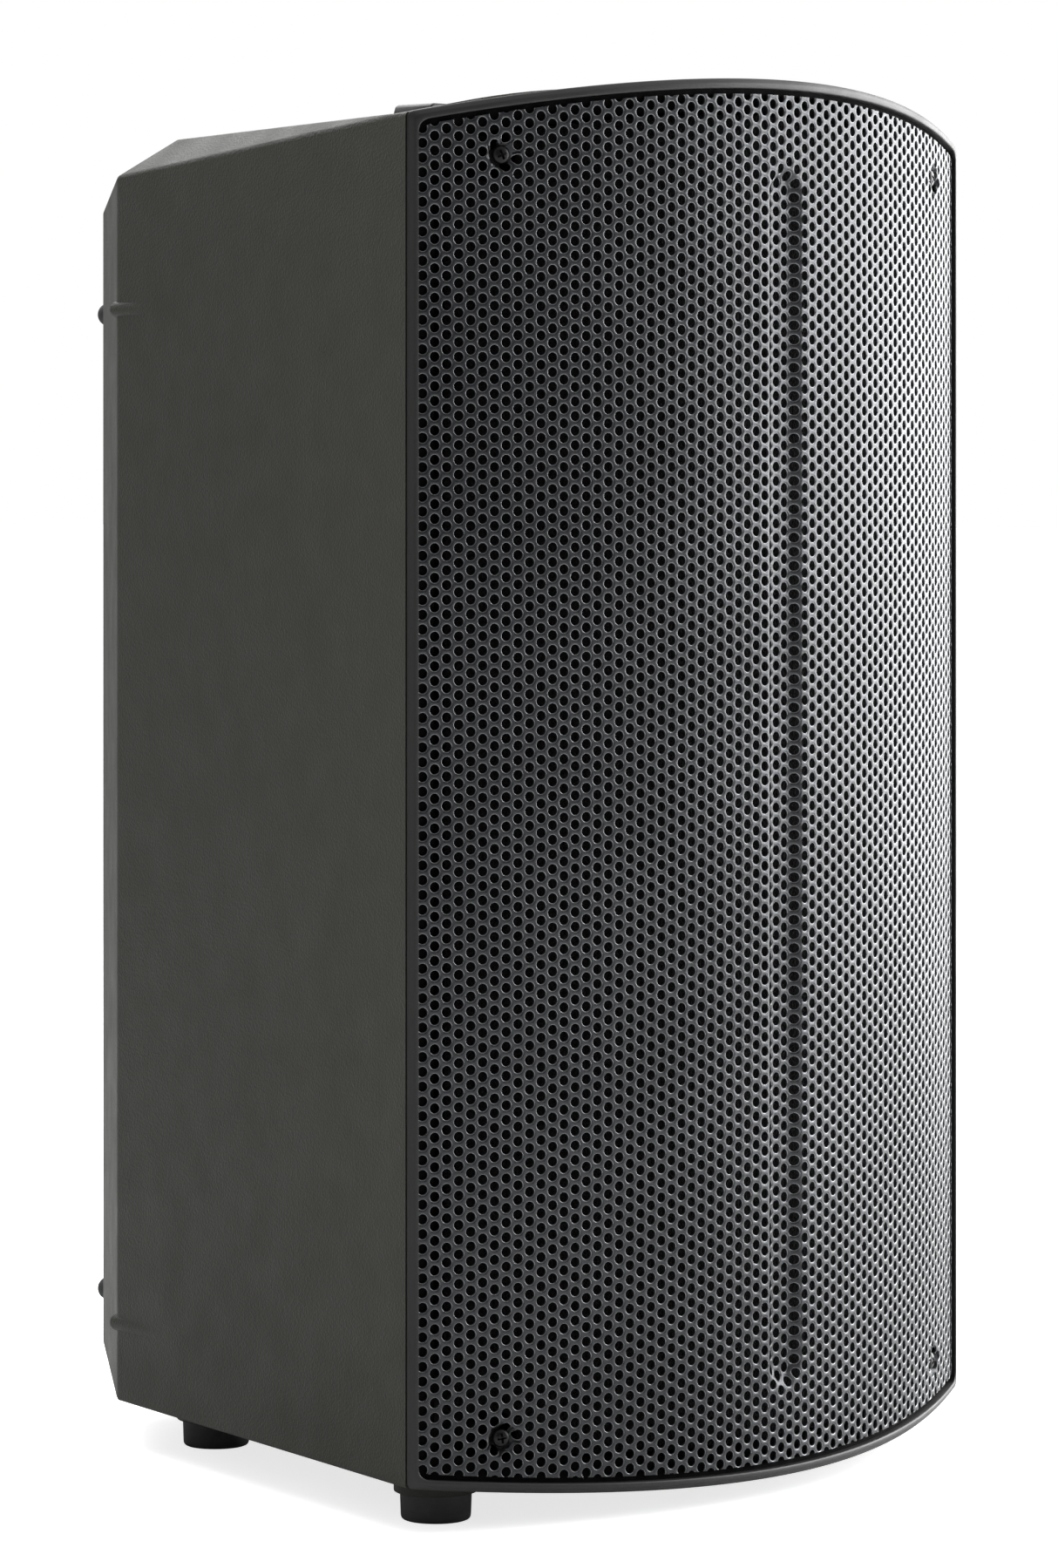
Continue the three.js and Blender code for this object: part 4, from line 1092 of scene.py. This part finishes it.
# ------------------------------------------------------------------ baffle, ports, brace
def build_inside():
    lo, hi = [v * 1000 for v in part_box("baffle")]
    o = box_obj("baffle_board", lo.x, hi.x, lo.y - YOFF, hi.y - YOFF, lo.z, hi.z, "painted_board", 1.0, 2)
    for z in (204.0, 494.0):
        boolean(o, [lathe("hole", [(0, 0), (118, 0), (118, 40), (0, 40)], "Y", (0, z), "painted_board", 96)])
    for s in (-1, 1):
        boolean(o, [lathe("hole", [(0, 0), (35.4, 0), (35.4, 40), (0, 40)], "Y", (s * 108, 349), "painted_board", 64)])
    tidy(o, 1e-6)
    shade(o, 35)
    place(o, "baffle")
    for nm, s in (("port_tube_left", -1), ("port_tube_right", 1)):
        pr = [(34.5, 145), (34.5, 11.7), (40, 11.7), (40, 10.6), (38.5, 9.0), (36.2, 8.5), (34.4, 9.4), (33.0, 12.4), (32.3, 17), (32, 24), (32, 144.2), (32.6, 145), (34.5, 145)]
        place(lathe(nm + "_flared", pr, "Y", (s * 108, 349), "black_plastic", 72), nm)
    br = prism("window_brace", [(-68, 27.4), (68, 27.4), (68, 152), (152.5, 152), (138, 208), (-138, 208), (-152.5, 152), (-68, 152)], 343, 355, "Z", "painted_board", 1.0, 2)
    boolean(br, [prism("win", rrect(-44, 44, 52, 182, 14), 330, 370, "Z", "painted_board")])
    shade(br, 35)
    place(br, "brace")


build_inside()


# ------------------------------------------------------------------ woofers
def ring_sector(name, profile, z, a0, a1, n, mat):
    """A closed profile swept through part of a turn, with flat ends."""
    verts, faces = [], []
    m = len(profile)
    for i in range(n + 1):
        t = a0 + (a1 - a0) * i / n
        for r, y in profile:
            verts.append((r * math.cos(t), y, z + r * math.sin(t)))
    for i in range(n):
        for j in range(m):
            faces.append((i * m + j, i * m + (j + 1) % m, (i + 1) * m + (j + 1) % m, (i + 1) * m + j))
    o = mesh_obj(name, verts, faces, mat, smooth=False)
    tidy(o, 1e-8)
    shade(o, 50)
    return o


def build_woofer(which, z):
    n = lambda p: f"woofer_{which}_{p}"
    prof = rounded([(130, 7.2), (130, 11.7), (116.6, 11.7), (116.6, 22), (84, 90), (84, 96), (44, 96), (44, 91.5), (79.6, 91.5), (111.6, 22), (108, 15.5), (108, 9.3), (118.4, 9.3), (118.4, 7.2)],
                   [1.4, 0.8, 0.5, 3, 3, 1.5, 0.8, 0.8, 3, 3, 1, 0.6, 0.4, 0.8], 3, closed=True)
    fr = lathe("basket_" + which, prof, "Y", (0, z), "cast_basket", 96)
    for i in range(6):
        a = math.radians(30 + 60 * i)
        pts = []
        for x, y in ((-27, 34), (27, 34), (17, 84), (-17, 84)):
            pts.append((x, y))
        c = prism("win", pts, 55, 150, "Z", "cast_basket", 4.0, 4, 20)
        c.data.transform(Matrix.Translation((0, -YOFF * MM, 0)))
        c.data.transform(Matrix.Rotation(a, 4, "Y"))
        c.data.transform(Matrix.Translation((0, YOFF * MM, z * MM)))
        boolean(fr, [c])
    tidy(fr, 1e-6)
    shade(fr, 35)
    place(fr, n("frame"))
    mg = lathe("motor_" + which, rounded([(0, 97), (35.8, 97), (35.8, 130), (40.2, 130), (40.2, 96.4), (62, 96.4), (62, 104), (60.5, 104.6), (60.5, 133), (62, 133.6), (62, 140), (0, 140)], [0, 0.6, 0, 0, 0.6, 1, 0.3, 0.3, 0.3, 0.3, 1.2, 0], 3), "Y", (0, z), "magnet_steel", 96)
    place(mg, n("magnet"))
    cone = lathe("pulp_cone_" + which, rounded([(93.2, 7.6), (80, 18.5), (60, 38.5), (38.9, 60), (38.9, 63), (40.4, 63), (61.5, 41), (81, 20.8), (92, 10.6), (93.2, 10.2)], [0.5, 8, 8, 0.5, 0.5, 0.5, 8, 8, 0.3, 0.3], 4, closed=True), "Y", (0, z), "pulp_cone", 96)
    place(cone, n("cone"))
    outer = [(45.6 * math.sin(t), 52.4 - 14.0 * (math.cos(t) - math.cos(math.pi / 2)) / 1.0) for t in np.linspace(0, math.pi / 2, 14)]
    inner = [(r * 0.972, y + 1.1) for r, y in outer]
    cap = lathe("dome_" + which, outer + [(44.6, 53.2)] + inner[::-1][1:], "Y", (0, z), "pulp_cone", 96)
    place(cap, n("dust_cap"))
    vc = lathe("coil_" + which, [(38.5, 57), (38.5, 113), (37.2, 113), (37.2, 57), (38.5, 57)], "Y", (0, z), "copper_winding", 72)
    place(vc, n("voice_coil"))
    # the half-roll surround and the spider, each drawn as eight ring sectors
    roll = [(117.6, 7.4), (117.6, 8.8), (108, 8.8)] + [(101 + 6.4 * math.cos(t), 8.0 - 6.4 * math.sin(t)) for t in np.linspace(0.2, math.pi - 0.2, 9)] + [(94.4, 8.8), (93.7, 8.8), (93.7, 7.4)] + [(101 + 7.5 * math.cos(t), 7.9 - 7.6 * math.sin(t)) for t in np.linspace(math.pi - 0.1, 0.1, 11)]
    parts, K = [], 8
    for i in range(K):
        a0, a1 = 2 * math.pi * i / K, 2 * math.pi * (i + 1) / K
        s = ring_sector(f"surround_{which}_{i:02d}", roll, z, a0, a1, 12, "surround_rubber")
        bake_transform(s)
        if i == 0:
            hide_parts(n("surround"))
        parts.append(s)
    wave = []
    top = [(r, 78 + 1.6 * math.sin((r - 39.3) / (85 - 39.3) * 5 * 2 * math.pi)) for r in np.linspace(85, 39.3, 41)]
    low = [(r, y - 1.1) for r, y in reversed(top)]
    wave = top + low
    for i in range(K):
        a0, a1 = 2 * math.pi * i / K, 2 * math.pi * (i + 1) / K
        s = ring_sector(f"spider_{which}_{i:02d}", wave, z, a0, a1, 9, "spider_cloth")
        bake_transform(s)
        if i == 0:
            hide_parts(n("spider"))


build_woofer("lower", 204.0)
build_woofer("upper", 494.0)

# ------------------------------------------------------------------ amplifier panel
P0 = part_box("amp_panel")[0] * 1000
P1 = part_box("amp_panel")[1] * 1000
YP, YO = P0.y - YOFF, P1.y - YOFF


def mid(node):
    lo, hi = [v * 1000 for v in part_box(node)]
    return (lo + hi) / 2


def build_panel():
    o = prism("panel_plate", rrect(P0.x, P1.x, P0.z, P1.z, 2.5), YP, YO, "Y", "panel_coat", 0.5, 2)
    for n in ("level_knob", "crossover_knob"):
        c = mid(n)
        boolean(o, [lathe("h", [(0, YP - 5), (3.6, YP - 5), (3.6, YO + 5), (0, YO + 5)], "Y", (c.x, c.z), "panel_coat", 32)])
    for n in ("combo_input_left", "combo_input_right", "line_output_left", "line_output_right"):
        c = mid(n)
        boolean(o, [lathe("h", [(0, YP - 5), (12.2, YP - 5), (12.2, YO + 5), (0, YO + 5)], "Y", (c.x, c.z), "panel_coat", 48)])
    for n, x in (("polarity_switch", -27), ("filter_switch", 27)):
        boolean(o, [box_obj("h", x - 8, x + 8, YP - 5, YO + 5, 276, 282, "panel_coat")])
    boolean(o, [box_obj("h", -38.2, -21.8, YP - 5, YO + 5, 219, 245, "panel_coat")])
    boolean(o, [box_obj("h", -4, 44, YP - 5, YO + 5, 218, 246, "panel_coat")])
    boolean(o, [lathe("h", [(0, YP - 5), (2.4, YP - 5), (2.4, YO + 5), (0, YO + 5)], "Y", (0, 405), "panel_coat", 24)])
    for x in (-53, 53):
        for z in (156, 554):
            boolean(o, [lathe("h", [(0, YP - 5), (2.1, YP - 5), (2.1, YO + 5), (0, YO + 5)], "Y", (x, z), "panel_coat", 24)])
    tidy(o, 1e-6)
    shade(o, 35)
    place(o, "amp_panel")
    for n, x, z, t in (("upper_left", -53, 554, 15), ("upper_right", 53, 554, 50), ("lower_left", -53, 156, 33), ("lower_right", 53, 156, 70)):
        s = cross_screw("screw_panel_" + n, 3.8, 2.3, YO + 2.7, 1, t, 6.5)
        s.data.transform(Matrix.Translation((x * MM, 0, z * MM)))
        place(s, "panel_screw_" + n)
    # heat sink with tapered fins
    lo, hi = [v * 1000 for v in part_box("heatsink")]
    y0, y1 = lo.y - YOFF, hi.y - YOFF
    pts = [(lo.x, y0), (hi.x, y0)]
    fins = 12
    span = hi.x - lo.x
    outp = [(hi.x, y0), (hi.x, y0 + 3.7)]
    for i in reversed(range(fins)):
        x = -46.5 + i * 8.4545
        outp += [(min(hi.x - 0.05, x + 1.5), y0 + 3.7), (x + 0.8, y1 - 0.4), (x + 0.4, y1), (x - 0.4, y1), (x - 0.8, y1 - 0.4), (max(lo.x + 0.05, x - 1.5), y0 + 3.7)]
    outp += [(lo.x, y0 + 3.7), (lo.x, y0)]
    place(prism("finned_sink", outp, lo.z, hi.z, "Z", "black_alloy", 0.0), "heatsink")
    # printed scales round the knobs: plain ticks, no words
    for n in ("level_knob", "crossover_knob"):
        c = mid(n)
        vs, fs = [], []
        for k in range(11):
            a = math.radians(240 - 30 * k)
            r0, r1, w = 11.6, (14.4 if k in (0, 5, 10) else 13.4), 0.28
            d, s = Vector((math.cos(a), math.sin(a))), Vector((-math.sin(a), math.cos(a)))
            b = len(vs)
            q = [d * r0 - s * w, d * r1 - s * w, d * r1 + s * w, d * r0 + s * w]
            for y in (YO + 0.02, YO + 0.1):
                vs += [(c.x + p.x, y, c.z + p.y) for p in q]
            fs += [(b, b + 1, b + 2, b + 3), (b + 7, b + 6, b + 5, b + 4)] + [(b + i, b + 4 + i, b + 4 + (i + 1) % 4, b + (i + 1) % 4) for i in range(4)]
        t = mesh_obj("scale_" + n, vs, fs, "dial_print", smooth=False)
        tidy(t, 1e-8)
        also(t, "amp_panel")


build_panel()


def build_controls():
    for n in ("level_knob", "crossover_knob"):
        c = mid(n)
        prof = rounded([(0, YO + 14.4), (8.6, YO + 14.4), (10, YO + 2.2), (10, YO + 0.6), (3.1, YO + 0.6), (3.1, YP - 8), (0, YP - 8)], [0, 1.2, 0.6, 0.4, 0, 0.4, 0], 4)
        k = lathe("knob_" + n, prof, "Y", (c.x, c.z), "control_plastic", 72)
        # finger grooves round the skirt
        for i in range(18):
            a = 2 * math.pi * i / 18
            g = lathe("g", [(0, YO + 2.6), (0.75, YO + 2.6), (0.75, YO + 20), (0, YO + 20)], "Y", (c.x + 10.1 * math.cos(a), c.z + 10.1 * math.sin(a)), "control_plastic", 10)
            boolean(k, [g])
        tidy(k, 1e-7)
        shade(k, 35)
        place(k, n)
        p = box_obj("pointer_" + n, c.x - 0.5, c.x + 0.5, YO + 14.2, YO + 14.55, c.z + 2.2, c.z + 8.0, "dial_print", 0.12, 2)
        also(p, n)
    for n in ("combo_input_left", "combo_input_right", "line_output_left", "line_output_right"):
        c = mid(n)
        latch = "combo" in n
        j = prism("jack_" + n, rrect(c.x - 13, c.x + 13, c.z - 15.5, c.z + 15.5, 3), YO + 0.3, YO + 2.3, "Y", "black_plastic", 0.45, 2)
        b = lathe("jb", [(0, YP - 20), (11.8, YP - 20), (11.8, YO + 1.2), (0, YO + 1.2)], "Y", (c.x, c.z), "black_plastic", 64)
        boolean(j, [b], "UNION")
        boolean(j, [lathe("jh", rounded([(0, YO - 12), (9.3, YO - 12), (9.3, YO + 1.6), (10.1, YO + 2.5), (10.1, YO + 6), (0, YO + 6)], [0, 0.3, 0, 0, 0, 0], 2), "Y", (c.x, c.z), "black_plastic", 64)])
        if latch:
            boolean(j, [box_obj("jl", c.x - 3.3, c.x + 3.3, YO - 2, YO + 6, c.z + 10.6, c.z + 14, "black_plastic")])
            boolean(j, [lathe("jc", [(0, YO - 16), (3.2, YO - 16), (3.2, YO), (0, YO)], "Y", (c.x, c.z), "black_plastic", 32)])
        for sx, sz in ((-9.8, 12.2), (9.8, -12.2)):
            boolean(j, [lathe("js", [(0, YO + 1.2), (1.6, YO + 1.2), (2.4, YO + 2.6), (2.4, YO + 4), (0, YO + 4)], "Y", (c.x + sx, c.z + sz), "black_plastic", 24)])
        tidy(j, 1e-7)
        shade(j, 35)
        place(j, n)
        for i, (sx, sz) in enumerate(((-9.8, 12.2), (9.8, -12.2))):
            s = lathe(f"rivet_{n}_{i}", [(0, YO + 2.1), (1.2, YO + 2.0), (1.55, YO + 1.6), (1.55, YO + 1.25), (0, YO + 1.25)], "Y", (c.x + sx, c.z + sz), "black_screw", 24)
            also(s, n)
        pins = [(90, 4.6), (210, 4.6), (330, 4.6)]
        for i, (a, r) in enumerate(pins):
            px, pz = c.x + r * math.cos(math.radians(a)), c.z + r * math.sin(math.radians(a))
            if latch:
                # the combined socket has three small sleeves round its centre bore
                px, pz = c.x + 6.3 * math.cos(math.radians(a)), c.z + 6.3 * math.sin(math.radians(a))
                pr = [(0.55, YO - 12.1), (1.3, YO - 12.1), (1.3, YO - 9.4), (0.9, YO - 9.1), (0.55, YO - 9.4), (0.55, YO - 12.1)]
            else:
                pr = rounded([(0, YO - 12.4), (1.2, YO - 12.4), (1.2, YO - 3.2), (0, YO - 2.6)], [0, 0, 0.7, 0], 3)
            s = lathe(f"pin_{n}_{i}", pr, "Y", (px, pz), "pin_metal", 20)
            also(s, n)
    for n in ("combo_latch_left", "combo_latch_right"):
        lo, hi = [v * 1000 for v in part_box(n)]
        o = box_obj("tab_" + n, lo.x, hi.x, lo.y - YOFF, hi.y - YOFF, lo.z, hi.z, "control_plastic", 0.5)
        place(o, n)
    for n, x in (("polarity_switch", -27), ("filter_switch", 27)):
        a = box_obj("lever_" + n, x - 7, x - 1, YO - 1.6, YO + 3, 276.4, 281.6, "control_plastic", 0.5)
        for k in range(3):
            boolean(a, [box_obj("rid", x - 5.6 + 1.5 * k, x - 5.2 + 1.5 * k + 0.3, YO + 2.5, YO + 5, 270, 290, "control_plastic")])
        b = box_obj("lb", x - 7.6, x - 0.4, YP - 4, YP - 0.6, 275, 283, "control_plastic", 0.3)
        c = box_obj("lc", x - 6, x - 2, YP - 1, YO - 1, 277, 281, "control_plastic")
        boolean(a, [c, b], "UNION")
        shade(a, 35)
        place(a, n)
    # rocker with a dished face
    rc = Vector((-30, 0, 232))
    pts = []
    for t in np.linspace(-1, 1, 13):
        pts.append((t * 11.6, 3.4 - 1.5 * (1 - abs(t) ** 1.6)))
    pts += [(8, -4), (-8, -4)]
    n = len(pts)
    vs = [(x, y, z) for x in (-7.6, 7.6) for z, y in pts]
    fs = [tuple(range(n)), tuple(range(2 * n - 1, n - 1, -1))] + [(i, i + n, (i + 1) % n + n, (i + 1) % n) for i in range(n)]
    o = mesh_obj("rocker", vs, fs, "control_plastic", smooth=False)
    tidy(o, 1e-7)
    bevelled(o, 0.5, 3, 35)
    o.data.transform(Matrix.Translation((0, -YOFF * MM, 0)))
    o.data.transform(Matrix.Rotation(math.radians(9), 4, "X"))
    o.data.transform(Matrix.Translation(Vector((-30, YO + YOFF, 232)) * MM))
    shade(o, 35)
    place(o, "power_rocker")
    # mains inlet
    lo, hi = [v * 1000 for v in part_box("mains_inlet")]
    ix, iz = (lo.x + hi.x) / 2, (lo.z + hi.z) / 2
    j = prism("inlet_body", rrect(ix - 26, ix + 26, iz - 16, iz + 16, 3), YO + 0.3, YO + 2.3, "Y", "black_plastic", 0.45, 2)
    boolean(j, [box_obj("ib", ix - 23.4, ix + 23.4, YP - 18, YO + 1.2, iz - 13.4, iz + 13.4, "black_plastic", 0.6)], "UNION")
    boolean(j, [prism("iw", [(ix - 13, iz - 10), (ix + 13, iz - 10), (ix + 13, iz + 5), (ix + 8, iz + 10), (ix - 8, iz + 10), (ix - 13, iz + 5)], YO - 15, YO + 6, "Y", "black_plastic", 1.2, 3)])
    boolean(j, [lathe("is", [(0, YO + 1.0), (1.8, YO + 1.0), (2.9, YO + 2.6), (2.9, YO + 5), (0, YO + 5)], "Y", (ix + s * 20.5, iz), "black_plastic", 24) for s in (-1, 1)])
    tidy(j, 1e-7)
    shade(j, 35)
    place(j, "mains_inlet")
    for i, (dx, dz) in enumerate(((-7, -3), (7, -3), (0, 4))):
        b = box_obj(f"inlet_pin_{i}", ix + dx - 1, ix + dx + 1, YO - 15.5, YO - 1, iz + dz - 2.4, iz + dz + 2.4, "pin_metal", 0.5)
        also(b, "mains_inlet")
    for i, s in enumerate((-1, 1)):
        b = lathe(f"inlet_screw_{i}", [(0, YO + 2.2), (1.6, YO + 2.1), (2.3, YO + 1.7), (1.7, YO + 1.05), (0, YO + 1.05)], "Y", (ix + s * 20.5, iz), "black_screw", 24)
        also(b, "mains_inlet")
    l = lathe("led_lens", [(0, YO + 1.6)] + [(2.1 * math.sin(t), YO + 0.5 + 1.1 * math.cos(t)) for t in np.linspace(0.2, math.pi / 2, 8)] + [(2.1, YP - 3), (0, YP - 3)], "Y", (0, 405), "status_lens", 32)
    place(l, "status_lens")


build_controls()


# ------------------------------------------------------------------ amplifier inside
def build_amp():
    lo, hi = [v * 1000 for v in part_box("amp_board")]
    o = box_obj("amp_circuit_board", lo.x, hi.x, lo.y - YOFF, hi.y - YOFF, lo.z, hi.z, "circuit_board", 0.3, 2)
    place(o, "amp_board")
    rng = np.random.default_rng(11)
    k, parts = 0, {}
    for gx in range(-50, 56, 13):
        for gz in range(200, 536, 17):
            if rng.random() < 0.45 or (-52 < gx < -10 and 276 < gz < 324):
                continue
            w, h, t = rng.uniform(2, 5), rng.uniform(2, 7), rng.uniform(2, 9)
            if rng.random() < 0.4:
                mat = "black_plastic"
                c = lathe(f"part_{k:03d}", rounded([(0, 303.9 - t), (w * 0.8, 303.9 - t), (w * 0.8, 303.9), (0, 303.9)], [0, 0.5, 0, 0], 2), "Y", (gx, gz), mat, 20)
            else:
                mat = ("black_plastic", "magnet_steel", "black_alloy")[k % 3]
                c = box_obj(f"part_{k:03d}", gx - w, gx + w, 303.9 - t * 0.5, 303.9, gz - h * 0.6, gz + h * 0.6, mat, 0.25, 2)
            parts.setdefault(mat, []).append(c)
            k += 1
    for mat, objs in parts.items():
        also(joined(objs, "board_parts_" + mat), "amp_board")
    c = mid("power_transformer")
    t = lathe("toroid", rounded([(46, 30.2), (46, 69), (12, 69), (12, 30.2)], 9, 8, closed=True), "Z", (c.x, c.y - YOFF), "copper_winding", 96)
    place(t, "power_transformer")
    c = mid("filter_capacitor")
    f = lathe("capacitor_can", rounded([(0, 252.6), (13.5, 252.6), (14.2, 252), (17, 252), (17, 257), (16.3, 258), (17, 259), (17, 303.6), (0, 303.6)], [0, 0.2, 0.2, 1.2, 0.6, 0.6, 0.6, 0, 0], 3), "Y", (c.x, c.z), "black_plastic", 48)
    place(f, "filter_capacitor")
    pts = [(46, 299, 400), (60, 284, 396), (104, 236, 388), (116, 176, 396), (110, 130, 420), (96, 112, 436)]
    cu = bpy.data.curves.new("lead", "CURVE")
    cu.dimensions = "3D"
    for off in (-1, 1):
        s = cu.splines.new("BEZIER")
        s.bezier_points.add(len(pts) - 1)
        for b, p in zip(s.bezier_points, pts):
            b.co = Vector((p[0], p[1] + YOFF, p[2] + off * 1.35)) * MM
            b.handle_left_type = b.handle_right_type = "AUTO"
    cu.bevel_depth = 1.25 * MM
    cu.bevel_resolution = 5
    cu.resolution_u = 16
    cu.use_fill_caps = True
    o = link(bpy.data.objects.new("lead_curve", cu))
    dg = bpy.context.evaluated_depsgraph_get()
    me = bpy.data.meshes.new_from_object(o.evaluated_get(dg), depsgraph=dg)
    bpy.data.objects.remove(o)
    o = link(bpy.data.objects.new("twin_lead", me))
    me.materials.clear()
    me.materials.append(M["foot_rubber"])
    shade(o, 40)
    place(o, "speaker_cable")


build_amp()

# every CAD node still shown takes its slot's finish
for n, o in frame["nodes"].items():
    o.data.materials.clear()
    o.data.materials.append(M[SLOT[n]])

# ------------------------------------------------------------------ stage, lights, camera
def emit_area(name, loc, target, sx, sy, power, col=(1, 1, 1)):
    l = bpy.data.lights.new(name, "AREA")
    l.shape = "RECTANGLE"
    l.size, l.size_y = sx, sy
    l.energy = power
    l.color = col
    o = link(bpy.data.objects.new(name, l))
    o.location = loc
    d = Vector(target) - Vector(loc)
    o.rotation_mode = "QUATERNION"
    o.rotation_quaternion = d.to_track_quat("-Z", "Y")
    return o


fl, nt, p = new_mat("floor")
c = coord(nt)
nt.links.new(mix_col(nt, tex_noise(nt, c, 1.5, 3), (0.80, 0.80, 0.80), (0.84, 0.84, 0.84)), p.inputs["Base Color"])
p.inputs["Roughness"].default_value = 0.7
lp = nt.nodes.new("ShaderNodeLightPath")
p.inputs["Emission Color"].default_value = (1, 1, 1, 1)
nt.links.new(math_node(nt, "MULTIPLY", lp.outputs["Is Camera Ray"], 0.75), p.inputs["Emission Strength"])
me = bpy.data.meshes.new("floor")
S = 30
me.from_pydata([(-S, -S, 0), (S, -S, 0), (S, S, 0), (-S, S, 0)], [], [(0, 1, 2, 3)])
floor = link(bpy.data.objects.new("floor", me))
me.materials.append(fl)

w = bpy.data.worlds.new("studio")
bpy.context.scene.world = w
w.use_nodes = True
nt = w.node_tree
nt.nodes.clear()
out = nt.nodes.new("ShaderNodeOutputWorld")
bg_cam = nt.nodes.new("ShaderNodeBackground")
bg_lit = nt.nodes.new("ShaderNodeBackground")
bg_cam.inputs[0].default_value = (1, 1, 1, 1)
bg_cam.inputs[1].default_value = 1.0
# brighter behind and to the right, dim in front and to the left
tc = nt.nodes.new("ShaderNodeTexCoord")
vm = nt.nodes.new("ShaderNodeVectorMath")
vm.operation = "DOT_PRODUCT"
vm.inputs[1].default_value = Vector((0.45, 0.45, 0.77)).normalized()
nt.links.new(tc.outputs["Generated"], vm.inputs[0])
nt.links.new(ramp(nt, vm.outputs["Value"], -0.25, 0.85, 0.035, 1.05), bg_lit.inputs[1])
lp = nt.nodes.new("ShaderNodeLightPath")
mx = nt.nodes.new("ShaderNodeMixShader")
nt.links.new(lp.outputs["Is Camera Ray"], mx.inputs[0])
nt.links.new(bg_lit.outputs[0], mx.inputs[1])
nt.links.new(bg_cam.outputs[0], mx.inputs[2])
nt.links.new(mx.outputs[0], out.inputs[0])

emit_area("key_right", (2.35, -0.85, 0.85), (0.1, -0.1, 0.36), 3.2, 2.6, 175)
emit_area("fill_left", (-3.2, -0.9, 1.4), (0, 0, 0.35), 2.0, 2.2, 7)
emit_area("top_back", (0.4, 1.9, 2.5), (0, 0.05, 0.6), 2.6, 1.6, 60)

cam = bpy.data.cameras.new("view")
cam_o = link(bpy.data.objects.new("view", cam))
F_PX = 6649.6
cam.sensor_width = 36.0
cam.lens = F_PX * 36.0 / 1799.0
cam.shift_y = (522.75 - 899.5) / 1799.0
cam.shift_x = 0.0
cam_o.location = (-2174.75 * MM, (-1921.61 + YOFF) * MM, 512.4 * MM)
view_dir = Vector((0.73078, 0.68261, 0.0)).normalized()
cam_o.rotation_mode = "QUATERNION"
cam_o.rotation_quaternion = view_dir.to_track_quat("-Z", "Y")
cam.clip_start, cam.clip_end = 0.05, 100
bpy.context.scene.camera = cam_o
bpy.context.scene.view_settings.view_transform = "Standard"
